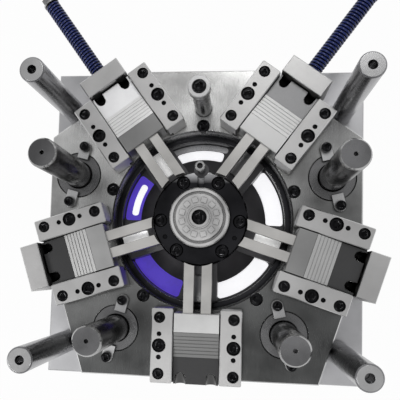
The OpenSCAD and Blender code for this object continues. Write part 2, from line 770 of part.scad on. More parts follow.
module stripper_plate() {
    color("darkgray") difference() {
        translate([0, 0, z_strip]) linear_extrude(stripper_t) polygon(stripper_outline);
        outline_chamfer(stripper_outline, z_slide, plate_chamfer);
        translate([0, 0, z_strip - eps]) cylinder(d = bore_d, h = stripper_t + 2 * eps);
        translate([0, 0, z_slide - bore_chamfer])
            cylinder(d1 = bore_d, d2 = bore_d + 2 * (bore_chamfer + eps), h = bore_chamfer + eps);
        translate([0, 0, z_strip - eps]) cylinder(d = ring_out_d + 2 * fit_gap, h = ring_h + eps);
        at_places(leader_places) {
            translate([0, 0, z_strip - eps]) cylinder(d = bush_d + 2 * fit_gap, h = stripper_t + 2 * eps);
            translate([0, 0, z_slide - bush_flange_h])
                cylinder(d = bush_flange_d + 2 * flange_gap, h = bush_flange_h + eps);
        }
        for (p = leader_places, s = [0, 180]) translate([p[0], p[1], z_slide - clip_engage])
            rotate([0, 0, leader_lean(p) + s]) translate([clip_screw_r, 0, 0])
                cylinder(d = M8 + 2 * thread_play, h = clip_engage + eps);
        for (k = [0:SLIDES - 1]) rotate([0, 0, 90 + slide_step * k])
            translate([ring_screw_r, 0, z_slide - M10 - 1]) screw_hole(M10, stripper_t, M10 + 1 + eps);
        at_slides() for (s = [-1, 1]) {
            for (r = gib_end_places) translate([r, s * gib_screw_y, z_slide - gib_engage_m8])
                cylinder(d = M8 + 2 * thread_play, h = gib_engage_m8 + eps);
            translate([gib_mid, s * gib_screw_y, z_slide - gib_engage_m10])
                cylinder(d = M10 + 2 * thread_play, h = gib_engage_m10 + eps);
            for (r = gib_dowel_places) translate([r, s * gib_screw_y, z_slide - dowel_engage])
                cylinder(d = dowel_d + 2 * fit_gap, h = dowel_engage + eps);
        }
        at_slides(BLOCKED) for (y = [-stop_screw_y, stop_screw_y])
            translate([stop_face - stop_engage, y, z_slide - stop_screw_drop])
                rotate([0, 90, 0]) cylinder(d = M10 + 2 * thread_play, h = stop_engage + eps);
        at_slide(PINNED) translate([stop_pin_x, 0, z_slide - stop_pin_seat])
            cylinder(d = stop_pin_d + 2 * fit_gap, h = stop_pin_seat + eps);
        translate([0, post_y, z_strip - eps]) cylinder(d = post_d + 2 * hole_play, h = stripper_t + 2 * eps);
        at_places(push_places) translate([0, 0, z_strip - eps])
            cylinder(d = M12 + 2 * thread_play, h = push_engage + eps);
    }
}

module stripper_ring() {
    color([0.12, 0.12, 0.13]) difference() {
        translate([0, 0, z_strip]) cylinder(d = ring_out_d, h = ring_h);
        translate([0, 0, z_strip - eps]) cylinder(d = ring_in_d, h = ring_h + 2 * eps);
        translate([0, 0, z_ring - ring_chamfer])
            cylinder(d1 = ring_in_d, d2 = ring_in_d + 2 * (ring_chamfer + eps), h = ring_chamfer + eps);
        for (k = [0:SLIDES - 1]) rotate([0, 0, 90 + slide_step * k])
            translate([ring_screw_r, 0, z_ring - ring_engage])
            cylinder(d = M10 + 2 * thread_play, h = ring_engage + eps);
    }
}

module ring_screws() {
    color("black") for (k = [0:SLIDES - 1]) rotate([0, 0, 90 + slide_step * k])
        translate([ring_screw_r, 0, z_slide - M10 - 1])
            socket_screw(M10, stripper_t - ring_h - M10 - 1 + ring_engage - screw_end);
}

module guide_bushes() {
    color("silver") at_places(leader_places) difference() {
        union() {
            translate([0, 0, z_strip]) cylinder(d = bush_d, h = stripper_t);
            translate([0, 0, z_slide - bush_flange_h]) cylinder(d = bush_flange_d, h = bush_flange_h);
        }
        translate([0, 0, z_strip - eps]) cylinder(d = leader_d + 2 * running_play, h = stripper_t + 2 * eps);
        translate([0, 0, z_slide - bush_mouth])
            cylinder(d1 = leader_d + 2 * running_play,
                d2 = leader_d + 2 * (bush_mouth + eps), h = bush_mouth + eps);
    }
}

module at_clips() {
    for (p = leader_places, s = [0, 180]) translate([p[0], p[1], z_slide])
        rotate([0, 0, leader_lean(p) + s]) translate([clip_screw_r, 0, 0]) children();
}

module bush_clips() {
    color("gray") at_clips() difference() {
        linear_extrude(clip_h) {
            circle(d = clip_w);
            translate([-clip_reach, -clip_w / 2]) square([clip_reach, clip_w]);
        }
        translate([0, 0, -eps]) cylinder(d = M8 + 2 * hole_play, h = clip_h + 2 * eps);
    }
}

module clip_screws() {
    color("black") at_clips() translate([0, 0, clip_h]) socket_screw(M8, clip_h + clip_engage - screw_end);
}

// Places children at each gib: its origin on the plate at the screw line's middle, +Y away from the slide
module at_gibs() {
    for (i = [1:SLIDES], s = [0, 1]) at_slide(i) mirror([0, s, 0])
        translate([gib_mid, gib_screw_y, z_slide]) children();
}

module gibs() {
    color("lightgray") at_gibs() translate([0, -gib_screw_y, 0]) difference() {
        intersection() {
            translate([0, (lip_y + gib_outer_y) / 2,
                0]) linear_extrude(slide_h) rounded_rect(gib_len, gib_w, gib_corner);
            rotate([90, 0, 90]) linear_extrude(gib_len, center = true) polygon([
                [wing_y + fit_gap, 0], [gib_outer_y, 0], [gib_outer_y, slide_h - edge_chamfer],
                [gib_outer_y - edge_chamfer, slide_h],
                [lip_y + edge_chamfer, slide_h], [lip_y, slide_h - edge_chamfer],
                [lip_y, wing_h + fit_gap], [wing_y + fit_gap, wing_h + fit_gap]
            ]);
            translate([0, gib_outer_y, 0]) rotate([90, 0, 0])
                linear_extrude(4 * gib_w, center = true) chamfered_section(gib_len, slide_h, edge_chamfer);
        }
        for (r = gib_end_places) translate([r - gib_mid, gib_screw_y, slide_h - M8 -
            1]) screw_hole(M8, slide_h, M8 + 1 + eps);
        translate([0, gib_screw_y, slide_h - M10 - 2]) screw_hole(M10, slide_h, M10 + 2 + eps);
        for (r = gib_dowel_places) translate([r - gib_mid, gib_screw_y, -eps])
            cylinder(d = dowel_d + 2 * fit_gap, h = slide_h + 2 * eps);
    }
}

module gib_screws() {
    color("black") at_gibs() {
        for (r = gib_end_places) translate([r - gib_mid, 0, slide_h - M8 - 1])
            socket_screw(M8, slide_h - M8 - 1 + gib_engage_m8 - screw_end);
        translate([0, 0, slide_h - M10 - 2]) socket_screw(M10, slide_h - M10 - 2 + gib_engage_m10 - screw_end);
    }
}

module gib_dowel_pins() {
    color([0.1, 0.1, 0.1]) at_gibs() for (r = gib_dowel_places)
        translate([r - gib_mid, 0, -dowel_engage]) cylinder(d = dowel_d, h = dowel_engage + slide_h - 3);
}

module stop_blocks() {
    color("lightgray") at_slides(BLOCKED) difference() {
        translate([stop_face + stop_t / 2, 0, z_slide - stop_reach])
            chamfered_block(stop_t, stop_w, stop_reach + slide_h, edge_chamfer);
        for (y = [-stop_screw_y, stop_screw_y])
            translate([stop_face + stop_t - M10, y, z_slide - stop_screw_drop])
                rotate([0, 90, 0]) screw_hole(M10, stop_t, M10 + eps);
        translate([stop_face - eps, 0, z_pull])
            rotate([0, 90, 0]) cylinder(d = pull_d + 2 * hole_play, h = stop_t + 2 * eps);
    }
}

module stop_block_screws() {
    color("black") at_slides(BLOCKED) for (y = [-stop_screw_y, stop_screw_y])
        translate([stop_face + stop_t - M10, y, z_slide - stop_screw_drop])
            rotate([0, 90, 0]) socket_screw(M10, stop_t - M10 + stop_engage - screw_end);
}

module slide_stop_pin() {
    color("silver") at_slide(PINNED) translate([stop_pin_x, 0, z_slide - stop_pin_seat])
        cylinder(d = stop_pin_d, h = stop_pin_seat + stop_pin_h);
}

/* Slides */

module slide_profile() {
    polygon([
        [slide_front, slide_lift], [slide_back, slide_lift], [slide_back, slide_step_h],
        [slide_back - slide_relief, slide_step_h], [slide_back - slide_relief, tail_h - edge_chamfer],
        [slide_back - slide_relief - edge_chamfer, tail_h], [heel_back, tail_root_h],
        [heel_back, slide_h - heel_fall - heel_t], [heel_front, slide_h - heel_t],
        [heel_front, slide_h - nose_edge], [heel_front - nose_edge, slide_h],
        [slide_front + edge_chamfer, slide_h], [slide_front, slide_h - edge_chamfer]
    ]);
}

module blade_pair_boxes(front, back) {
    for (s = [-1, 1]) translate([front, s * blade_pitch / 2 - blade_w / 2, slide_h - blade_drop - blade_h])
        cube([back - front, blade_w, blade_h]);
}

module slide_block(i) {
    color("lightgray") at_slide(i) translate([0, 0, z_slide]) difference() {
        union() {
            rotate([90, 0, 0]) linear_extrude(slide_w, center = true) slide_profile();
            translate([slide_front, -wing_y, slide_lift])
                cube([slide_back - slide_front, 2 * wing_y, wing_h - slide_lift]);
        }
        blade_pair_boxes(slide_front - eps, slide_front + blade_root);
        for (s = [-1, 1]) intersection() {
            translate([slide_back - cam_x, s * cam_y, tail_h]) rotate([0, -cam_angle, 0])
                translate([0, 0, -2 * tail_h]) {
                    cylinder(r = cam_r, h = 3 * tail_h);
                    translate([0, -cam_r, 0]) cube([3 * cam_x, 2 * cam_r, 3 * tail_h]);
                }
            translate([heel_back, s * cam_y - slide_w / 2, slide_step_h]) cube([2 * heel_len, slide_w, slide_h]);
        }
        if (len(search(i, SPRUNG)) > 0) translate([slide_back - pull_thread, 0, pull_h])
            rotate([0, 90, 0]) cylinder(d = pull_d + 2 * thread_play, h = pull_thread + eps);
        if (i == PINNED) {
            translate([stop_pin_x, 0, -eps]) cylinder(d = stop_pin_d + 2 * hole_play, h = stop_pin_h + 1 + eps);
            translate([stop_pin_x, -stop_pin_d / 2 - hole_play, -eps])
                cube([slide_stroke + hole_play, stop_pin_d + 2 * hole_play, stop_pin_h + 1 + eps]);
            translate([stop_pin_x + slide_stroke + hole_play, 0, -eps])
                cylinder(d = stop_pin_d + 2 * hole_play, h = stop_pin_h + 1 + eps);
        }
    }
}

module slide_blades(i) {
    color([0.72, 0.71, 0.68]) at_slide(i) translate([0, 0, z_slide]) difference() {
        blade_pair_boxes(slide_stroke + disc_d / 4, slide_front + blade_root);
        translate([slide_stroke, 0, 0]) cylinder(r = disc_d / 2 + blade_seat_gap, h = slide_h);
    }
}

module heel_plate(i) {
    groove_pitch = heel_len / (heel_grooves + 1);
    color("silver") at_slide(i) translate([0, 0, z_slide]) rotate([90, 0,
        0]) linear_extrude(slide_w, center = true)
        difference() {
            polygon([
                [heel_front, slide_h - heel_t], [heel_back, slide_h - heel_t - heel_fall],
                [heel_back, slide_h - heel_fall], [heel_front, slide_h]
            ]);
            for (k = [1:heel_grooves])
                translate([heel_front + groove_pitch * k, slide_h - heel_fall * k / (heel_grooves + 1)])
                    rotate(-atan(heel_fall / heel_len)) square([groove_w, 2 * groove_h], center = true);
        }
}

module pull_rod(i) {
    color("dimgray") at_slide(i) translate([slide_back - pull_thread, 0, z_pull]) rotate([0, 90, 0])
        cylinder(d = pull_d, h = pull_end - slide_back + pull_thread);
}

module spring_nut(i) {
    color("gray") at_slide(i) translate([stop_face + stop_t + spring_len, 0, z_pull]) rotate([0, 90, 0])
        difference() {
            union() {
                cylinder(d = spring_d + 1, h = washer_t);
                translate([0, 0, washer_t]) cylinder(d = nut_d, h = nut_h, $fn = 6);
            }
            translate([0, 0, -eps]) cylinder(d = pull_d + 2 * thread_play, h = washer_t + nut_h + 2 * eps);
        }
}

// Flat wire wound round the pull rod, from the stop block to the washer
spring_steps = 12;
spring_mean = (spring_d - wire_w) / 2;
spring_rings = spring_turns * spring_steps;
wire_last = 4 * spring_rings;
function wire_ring(k) = let (
    a = 360 * k / spring_steps,
    x = wire_t / 2 + (spring_len - wire_t) * k / spring_rings
) [for (c = [[-1, -1], [1, -1], [1, 1], [-1, 1]])
    [x + c[1] * wire_t / 2, (spring_mean + c[0] * wire_w / 2) * cos(a), (spring_mean + c[0] * wire_w / 2) * sin(a)]];

function wire_side(a, b) = [[a, a + 4, b + 4], [a, b + 4, b]];

module spring(i) {
    points = [for (k = [0:spring_rings]) each wire_ring(k)];
    faces = concat(
        [[0, 1, 2], [0, 2, 3]],
        [for (k = [0:spring_rings - 1], c = [0:3]) each wire_side(4 * k + c, 4 * k + (c + 1) % 4)],
        [[wire_last + 2, wire_last + 1, wire_last], [wire_last + 3, wire_last + 2, wire_last]]
    );
    color("navy") at_slide(i) translate([stop_face + stop_t, 0, z_pull]) polyhedron(points, faces);
}

/* Ejector box */

module ejector_sheet(z, t) {
    difference() {
        translate([0, 0, z]) chamfered_block(ejector_x, core_plate_y - 2 * ejector_inset, t, edge_chamfer);
        at_places(pillar_places) translate([0, 0, z - eps])
            cylinder(d = pillar_d + 2 * pillar_play, h = t + 2 * eps);
        at_places(guide_places) translate([0, 0, z - eps])
            cylinder(d = guide_d + 2 * running_play, h = t + 2 * eps);
    }
}

module ejector_plate() {
    color("gray") difference() {
        ejector_sheet(z_ejector, ejector_t);
        at_places(ejector_screw_places) translate([0, 0, z_ejector + M10]) mirror([0, 0, 1])
            screw_hole(M10, ejector_t, M10 + eps);
    }
}

module ejector_retainer_plate() {
    color("gray") difference() {
        ejector_sheet(z_retainer, retainer_t);
        at_places(ejector_screw_places) translate([0, 0, z_retainer - eps])
            cylinder(d = M10 + 2 * thread_play, h = retainer_t - 2);
        at_places(push_places) {
            translate([0, 0, z_retainer - eps]) cylinder(d = push_d + 2 * hole_play, h = retainer_t + 2 * eps);
            translate([0, 0, z_retainer - eps]) cylinder(d = push_head_d + 2 * hole_play, h = push_head_h + eps);
        }
    }
}

module ejector_screws() {
    color("black") at_places(ejector_screw_places) translate([0, 0, z_ejector + M10]) mirror([0, 0, 1])
        socket_screw(M10, ejector_t - M10 + retainer_t - 4);
}

module push_rods() {
    color("silver") at_places(push_places) {
        translate([0, 0, z_retainer]) cylinder(d = push_head_d, h = push_head_h);
        translate([0, 0, z_retainer]) cylinder(d = push_d, h = z_strip - z_retainer);
        translate([0, 0, z_strip - eps]) cylinder(d = M12, h = push_engage - screw_end);
    }
}

module stop_buttons() {
    color("silver") at_places(button_places) translate([0, 0, z_spacer]) cylinder(d = button_d, h = button_h);
}

module ejector_guide_pins() {
    color("silver") at_places(guide_places) cylinder(d = guide_d, h = z_core + guide_seat - 1);
}

bottom_clamp_plate();
spacer_blocks();
base_screws();
core_plate();
support_pillars();
leader_pins();
limit_rods();
limit_post();
limit_collar();
limit_screw();
spoke_core();
core_screws();
hub_flange();
hub_screws();
hub_dowels();
hub_pin();
core_disc();
core_disc_screw();
window_floors();
spoke_strips();
stop_buttons();
ejector_guide_pins();
stripper_plate();
stripper_ring();
ring_screws();
guide_bushes();
bush_clips();
clip_screws();
gibs();
gib_screws();
gib_dowel_pins();
stop_blocks();
stop_block_screws();
slide_stop_pin();
push_rods();
ejector_plate();
ejector_retainer_plate();
ejector_screws();
for (i = [1:SLIDES]) slide_block(i);
for (i = [1:SLIDES]) slide_blades(i);
for (i = [1:SLIDES]) heel_plate(i);
for (i = SPRUNG) pull_rod(i);
for (i = SPRUNG) spring(i);
for (i = SPRUNG) spring_nut(i);
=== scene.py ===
"""Moving half of a five-slide injection mould, dressed and lit as seen from above."""

from __future__ import annotations

import logging
import math
from collections.abc import Callable, Iterator
from contextlib import contextmanager
from dataclasses import dataclass
from enum import Enum

import bmesh
import bpy
from mathutils import Matrix, Vector


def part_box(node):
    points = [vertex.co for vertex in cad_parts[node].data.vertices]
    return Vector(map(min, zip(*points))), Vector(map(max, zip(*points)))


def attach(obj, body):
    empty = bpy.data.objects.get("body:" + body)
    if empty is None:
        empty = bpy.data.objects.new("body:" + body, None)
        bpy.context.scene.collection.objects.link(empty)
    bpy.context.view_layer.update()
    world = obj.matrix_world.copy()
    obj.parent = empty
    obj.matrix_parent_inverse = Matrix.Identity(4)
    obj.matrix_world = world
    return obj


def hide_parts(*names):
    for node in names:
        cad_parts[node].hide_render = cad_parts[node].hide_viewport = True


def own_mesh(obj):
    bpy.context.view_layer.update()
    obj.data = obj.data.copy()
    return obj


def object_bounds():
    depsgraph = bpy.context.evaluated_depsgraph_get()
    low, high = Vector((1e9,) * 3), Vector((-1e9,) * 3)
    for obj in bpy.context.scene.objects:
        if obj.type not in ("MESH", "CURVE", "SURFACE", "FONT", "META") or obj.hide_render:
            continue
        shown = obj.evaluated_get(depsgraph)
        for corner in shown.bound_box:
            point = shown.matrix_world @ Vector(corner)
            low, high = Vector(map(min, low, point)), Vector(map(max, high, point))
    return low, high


LOG = logging.getLogger("mould")
MM = 0.001
SLIDE_COUNT = 5
SLIDE_STEP = 360.0 / SLIDE_COUNT
FIRST_SLIDE = 126.0
BASE = "base"
STRIPPER = "stripper"

# Corners this close are one, and edges flatter or sharper than these angles are joined or rounded
MERGE_GAP = 0.002 * MM
FLAT_ANGLE = math.radians(0.5)
EDGE_ANGLE = math.radians(32)
RIM_ANGLE = math.radians(50)
SMOOTH_ANGLE = math.radians(30)
WIDE_SMOOTH_ANGLE = math.radians(40)
QUARTER_TURN = math.radians(90)
FULL_TURN = math.radians(360)
# Number of faces across a rounded edge
ROUND_STEPS = 2

Colour = tuple[float, float, float]
Point = tuple[float, float, float]
Tree = bpy.types.NodeTree
Socket = bpy.types.NodeSocket
Piece = bpy.types.Object

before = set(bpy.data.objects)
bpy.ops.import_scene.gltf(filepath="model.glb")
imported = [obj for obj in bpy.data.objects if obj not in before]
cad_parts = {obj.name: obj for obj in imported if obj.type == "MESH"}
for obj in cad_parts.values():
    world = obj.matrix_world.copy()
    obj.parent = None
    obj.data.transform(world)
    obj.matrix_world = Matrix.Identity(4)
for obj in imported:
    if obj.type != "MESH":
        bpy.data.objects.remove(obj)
cad_low, cad_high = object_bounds()


def joined(tree: Tree, source: Socket | float | tuple[float, ...], target: Socket) -> None:
    """Links a socket to an input, or sets the input to a value.

    Args:
        tree: Node tree that holds both.
        source: Socket or value.
        target: The input.
    """
    if isinstance(source, bpy.types.NodeSocket):
        tree.links.new(source, target)
    else:
        target.default_value = source


def reckoned(tree: Tree, operation: str, *values: Socket | float) -> Socket:
    """Adds a node that works out a number.

    Args:
        tree: Node tree.
        operation: What the node does.
        values: What it works with, in order.

    Returns:
        Socket of the number.
    """
    node = tree.nodes.new("ShaderNodeMath")
    node.operation = operation
    for value, target in zip(values, node.inputs):
        joined(tree, value, target)
    return node.outputs["Value"]


def ranged(
        tree: Tree, value: Socket, before: tuple[float, float],
        after: tuple[float, float] = (0.0, 1.0)) -> Socket:
    """Adds a node that carries a number over from one range to another.

    Args:
        tree: Node tree.
        value: Socket of the number.
        before: Range that it lies in.
        after: Range that it is carried to.

    Returns:
        Socket of the new number.
    """
    node = tree.nodes.new("ShaderNodeMapRange")
    for name, limit in zip(("From Min", "From Max", "To Min", "To Max"), before + after):
        node.inputs[name].default_value = limit
    tree.links.new(value, node.inputs["Value"])
    return node.outputs["Result"]


def blended(tree: Tree, share: Socket, first: Socket, second: Socket | tuple[float, ...]) -> Socket:
    """Adds a node that mixes two colours.

    Args:
        tree: Node tree.
        share: Share of the second colour.
        first: The first colour.
        second: The second colour.

    Returns:
        Socket of the mixed colour.
    """
    node = tree.nodes.new("ShaderNodeMix")
    node.data_type = "RGBA"
    first_input, second_input = [entry for entry in node.inputs if entry.type == "RGBA"]
    joined(tree, share, node.inputs["Factor"])
    joined(tree, first, first_input)
    joined(tree, second, second_input)
    return next(result for result in node.outputs if result.type == "RGBA")


def graded(tree: Tree, value: Socket, steps: tuple[tuple[float, Colour], ...]) -> Socket:
    """Adds a node that grades a number into colours.

    Args:
        tree: Node tree.
        value: Socket of the number, from 0 to 1.
        steps: Number and colour of each step.

    Returns:
        Socket of the colour.
    """
    ramp = tree.nodes.new("ShaderNodeValToRGB")
    points = ramp.color_ramp.elements
    while len(points) < len(steps):
        points.new(0.5)
    for point, (place, colour) in zip(points, steps):
        point.position = place
        point.color = (*colour, 1.0)
    tree.links.new(value, ramp.inputs["Fac"])
    return ramp.outputs["Color"]


class Grain(Enum):
    """Which way the tool marks of a finish run, as noise scales along X, Y and Z."""

    ALONG_X = (1.0, 30.0, 30.0)
    ALONG_Y = (30.0, 1.0, 30.0)
    AROUND_Z = (2.0, 2.0, 60.0)
    EVEN = (12.0, 12.0, 12.0)


@dataclass(frozen=True)
class Zone:
    """A part of a piece beyond a plane that stands upright, with a colour of painted light and shade for
    how light falls there.

    Args:
        angle: Direction of the plane's normal in the XY plane, in degrees.
        limit: Distance of the plane from the mould axis in metres.
        colour: Painted colour beyond the plane.
        roughness: Roughness beyond the plane.
        blur: Half the width in metres over which the colours grade into each other.
    """

    angle: float
    limit: float
    colour: Colour
    roughness: float
    blur: float = 0.01 * MM


@dataclass(frozen=True)
class Facing:
    """Painted highlight on the faces of a piece that lean by a given amount, coloured lighter as if they
    caught the lamps.

    Args:
        low: Least upward share of a face's normal, 0 for an upright face and 1 for a level one.
        high: Greatest upward share.
        colour: Colour of the painted highlight on these faces.
    """

    low: float
    high: float
    colour: Colour


# Blue share of a grey that is a little cooler or warmer than neutral
COOL = 1.01
WARM = 0.99
# Upward share that no face reaches
UPMOST = 2.0
# How the tool marks, the cloudy patches and the painted shade in corners show on every finish
MARK_DETAIL = 3.0
MARK_STRENGTH = 0.35
CLOUD_DETAIL = 5.0
CLOUD_RANGE = (0.35, 0.65)
SHINE_SHARE = 0.4
SWING_RANGE = (0.7, 1.3)
LEAST_ROUGHNESS = 0.03
CORNER_RANGE = (0.35, 0.9)
CORNER_SAMPLES = 6


def outward(angle: float) -> Point:
    """Gives the level direction at an angle in degrees, one unit long."""
    return (math.cos(math.radians(angle)), math.sin(math.radians(angle)), 0.0)


@dataclass(frozen=True)
class Finish:
    """A metal surface: its colour, its gloss, the marks that machining and use leave on it, and the light
    and shade painted onto it.

    Args:
        name: Name of the material.
        colour: Base colour, linear red, green and blue.
        roughness: Middle roughness.
        spread: How far the roughness swings either way over the surface.
        stain: Share of a darker tint in the cloudy patches.
        grain: Direction of the tool marks.
        grain_size: Number of tool marks per metre, before the grain's own scales.
        depth: Height of the tool marks in metres.
        metallic: 1 for bare metal, 0 for a coating.
        cloud_size: Number of cloudy patches per metre.
        zone: Part of the piece painted lighter or darker for how light falls there.
        facing: Painted highlight on faces that lean by a given amount, such as ends, chamfers or leaning
            walls.
        corner_shade: Share of the colour taken away as painted shade in narrow corners and between parts.
        reach: Width in metres of the corners that the painted shade darkens.
        glow: Strength of the light that the surface gives off in its own colour.
    """

    name: str
    colour: Colour
    roughness: float
    spread: float = 0.08
    stain: float = 0.15
    grain: Grain = Grain.EVEN
    grain_size: float = 60.0
    depth: float = 0.03 * MM
    metallic: float = 1.0
    cloud_size: float = 18.0
    zone: Zone | None = None
    facing: Facing | None = None
    # Painted shade in corners, on by default
    corner_shade: float = 0.6
    reach: float = 4.0 * MM
    glow: float = 0.0

    def material(self) -> bpy.types.Material:
        """Builds the material on first use.

        Returns:
            The material of this finish.
        """
        known = bpy.data.materials.get(self.name)
        if known:
            return known
        made = bpy.data.materials.new(self.name)
        made.use_nodes = True
        tree = made.node_tree
        shader = tree.nodes["Principled BSDF"]
        shader.inputs["Metallic"].default_value = self.metallic
        shader.inputs["Emission Color"].default_value = (*self.colour, 1.0)
        shader.inputs["Emission Strength"].default_value = self.glow
        place = tree.nodes.new("ShaderNodeTexCoord").outputs["Object"]
        marks = self._tool_marks(tree, place)
        clouds = self._noise(tree, place, self.cloud_size, CLOUD_DETAIL)
        beyond = self._beyond(tree, place)
        tree.links.new(self._gloss(tree, marks, clouds, beyond), shader.inputs["Roughness"])
        tree.links.new(self._tint(tree, clouds, beyond), shader.inputs["Base Color"])
        bump = tree.nodes.new("ShaderNodeBump")
        bump.inputs["Strength"].default_value = MARK_STRENGTH
        bump.inputs["Distance"].default_value = self.depth
        tree.links.new(marks, bump.inputs["Height"])
        tree.links.new(bump.outputs["Normal"], shader.inputs["Normal"])
        return made

    def _tool_marks(self, tree: Tree, place: Socket) -> Socket:
        """Adds the marks of the tool, stretched along the grain.

        Args:
            tree: Node tree of the material.
            place: Socket of the object's own coordinates.

        Returns:
            Socket of the marks.
        """
        stretch = tree.nodes.new("ShaderNodeVectorMath")
        stretch.operation = "MULTIPLY"
        stretch.inputs[1].default_value = self.grain.value
        tree.links.new(place, stretch.inputs[0])
        return self._noise(tree, stretch.outputs["Vector"], self.grain_size, MARK_DETAIL)

    def _noise(self, tree: Tree, place: Socket, scale: float, detail: float) -> Socket:
        """Adds a noise texture.

        Args:
            tree: Node tree of the material.
            place: Socket that gives the place.
            scale: Noise scale.
            detail: Number of octaves.

        Returns:
            The noise's factor socket.
        """
        noise = tree.nodes.new("ShaderNodeTexNoise")
        noise.inputs["Scale"].default_value = scale
        noise.inputs["Detail"].default_value = detail
        tree.links.new(place, noise.inputs["Vector"])
        return noise.outputs["Fac"]

    def _beyond(self, tree: Tree, place: Socket) -> Socket | None:
        """Tells the zone beyond the plane from the rest.

        Args:
            tree: Node tree of the material.
            place: Socket of the object's own coordinates.

        Returns:
            A socket that is 1 in the zone and 0 elsewhere, or nothing where there is no zone.
        """
        if self.zone is None:
            return None
        along = tree.nodes.new("ShaderNodeVectorMath")
        along.operation = "DOT_PRODUCT"
        along.inputs[1].default_value = outward(self.zone.angle)
        tree.links.new(place, along.inputs[0])
        edge = (self.zone.limit - self.zone.blur, self.zone.limit + self.zone.blur)
        return ranged(tree, along.outputs["Value"], edge)

    def _gloss(self, tree: Tree, marks: Socket, clouds: Socket, beyond: Socket | None) -> Socket:
        """Lets the roughness follow the tool marks and the clouds.

        Args:
            tree: Node tree of the material.
            marks: Socket of the tool marks.
            clouds: Socket of the cloudy patches.
            beyond: Socket of the zone, or nothing.

        Returns:
            Socket of the roughness.
        """
        swing = (max(LEAST_ROUGHNESS, self.roughness - self.spread), self.roughness + self.spread)
        rough = ranged(tree, reckoned(tree, "ADD", marks, clouds), SWING_RANGE, swing)
        if beyond is None:
            return rough
        return reckoned(tree, "MULTIPLY_ADD", beyond, self.zone.roughness - self.roughness, rough)

    def _tint(self, tree: Tree, clouds: Socket, beyond: Socket | None) -> Socket:
        """Gives the faces their colours: darker in the cloudy patches, with painted light in the zone,
        painted highlights on leaning faces and painted shade in the corners.

        Args:
            tree: Node tree of the material.
            clouds: Socket of the cloudy patches.
            beyond: Socket of the zone, or nothing.

        Returns:
            Socket of the colour.
        """
        colour = self._stained(tree, clouds, self.colour)
        # Painted light and shade in the zone
        if beyond is not None:
            colour = blended(tree, beyond, colour, self._stained(tree, clouds, self.zone.colour))
        # Painted highlight on the leaning faces
        if self.facing is not None:
            leaning = self._leaning(tree, self.facing)
            colour = blended(tree, leaning, colour, self._stained(tree, clouds, self.facing.colour))
        # Painted shade in corners and between parts
        if self.corner_shade > 0.0:
            colour = self._painted_corner_shade(tree, colour)
        return colour

    def _leaning(self, tree: Tree, facing: Facing) -> Socket:
        """Tells the faces that lean by the stated amount from the others.

        Args:
            tree: Node tree of the material.
            facing: The amount.

        Returns:
            A socket that is 1 on these faces and 0 on the others.
        """
        split = tree.nodes.new("ShaderNodeSeparateXYZ")
        shape = tree.nodes.new("ShaderNodeNewGeometry")
        tree.links.new(shape.outputs["True Normal"], split.inputs["Vector"])
        above = reckoned(tree, "GREATER_THAN", split.outputs["Z"], facing.low)
        below = reckoned(tree, "LESS_THAN", split.outputs["Z"], facing.high)
        return reckoned(tree, "MULTIPLY", above, below)

    def _painted_corner_shade(self, tree: Tree, colour: Socket) -> Socket:
        """Paints shade into narrow corners and between parts by darkening the colour there.

        Args:
            tree: Node tree of the material.
            colour: The colour before the painted shade.

        Returns:
            Socket of the darkened colour.
        """
        # Painted shade: ambient occlusion darkens the colour where parts meet
        corner = tree.nodes.new("ShaderNodeAmbientOcclusion")
        corner.samples = CORNER_SAMPLES
        corner.inputs["Distance"].default_value = self.reach
        scale = tree.nodes.new("ShaderNodeVectorMath")
        scale.operation = "SCALE"
        tree.links.new(colour, scale.inputs[0])
        clean = ranged(tree, corner.outputs["AO"], CORNER_RANGE, (1.0 - self.corner_shade, 1.0))
        tree.links.new(clean, scale.inputs["Scale"])
        return scale.outputs["Vector"]

    def _stained(self, tree: Tree, clouds: Socket, colour: Colour) -> Socket:
        """Grades a colour from stained to clean.

        Args:
            tree: Node tree of the material.
            clouds: Socket of the cloudy patches.
            colour: The clean colour.

        Returns:
            Socket of the graded colour.
        """
        dark = tuple(c * (1.0 - self.stain) for c in colour)
        light = tuple(min(1.0, c * (1.0 + SHINE_SHARE * self.stain)) for c in colour)
        return graded(tree, clouds, tuple(zip(CLOUD_RANGE, (dark, light))))


# Painted highlights: chamfers and the cam notches' leaning walls are coloured lighter as if they caught the
# lamps
CHAMFER_HIGHLIGHT = Facing(low=0.25, high=0.96, colour=(0.62, 0.62, 0.62))
CAM_WALL_HIGHLIGHT = Facing(low=0.2, high=0.5, colour=(0.95, 0.95, 0.95))
# Painted light: the stripper plate grades lighter towards its top, and the hub flange's top is a painted
# highlight
PLATE_PAINTED_LIGHT = Zone(angle=112.0, limit=45.0 * MM, colour=(0.68, 0.68, 0.67), roughness=0.24, blur=170.0 * MM)
HUB_PAINTED_HIGHLIGHT = Zone(angle=90.0, limit=52.0 * MM, colour=(0.50, 0.50, 0.51), roughness=0.16, blur=6.0 * MM)

PLATE = Finish(
    "ground_plate", (0.108, 0.110, 0.109), roughness=0.24, spread=0.1, stain=0.45, grain=Grain.ALONG_Y,
    cloud_size=11.0, zone=PLATE_PAINTED_LIGHT, facing=CHAMFER_HIGHLIGHT)
FRAME_PLATE = Finish("frame_plate", (0.50, 0.50, 0.51), roughness=0.4, grain=Grain.ALONG_X)
# Strong painted shade in the counterbores and corners of gibs and stop blocks
SATIN = Finish(
    "satin_block", (0.48, 0.477, 0.472), roughness=0.38, spread=0.06, stain=0.14, facing=CHAMFER_HIGHLIGHT,
    corner_shade=0.9)
BLADE_STEEL = Finish(
    "ground_blade", (0.50, 0.492, 0.475), roughness=0.38, spread=0.05, stain=0.2, corner_shade=0.0)
# Painted highlight on the pins' end chamfers
PIN_STEEL = Finish(
    "pin_steel", (0.16, 0.16, 0.163), roughness=0.26, spread=0.06, stain=0.4, grain=Grain.AROUND_Z,
    depth=0.01 * MM, facing=Facing(low=0.2, high=0.97, colour=(0.38, 0.38, 0.38)))
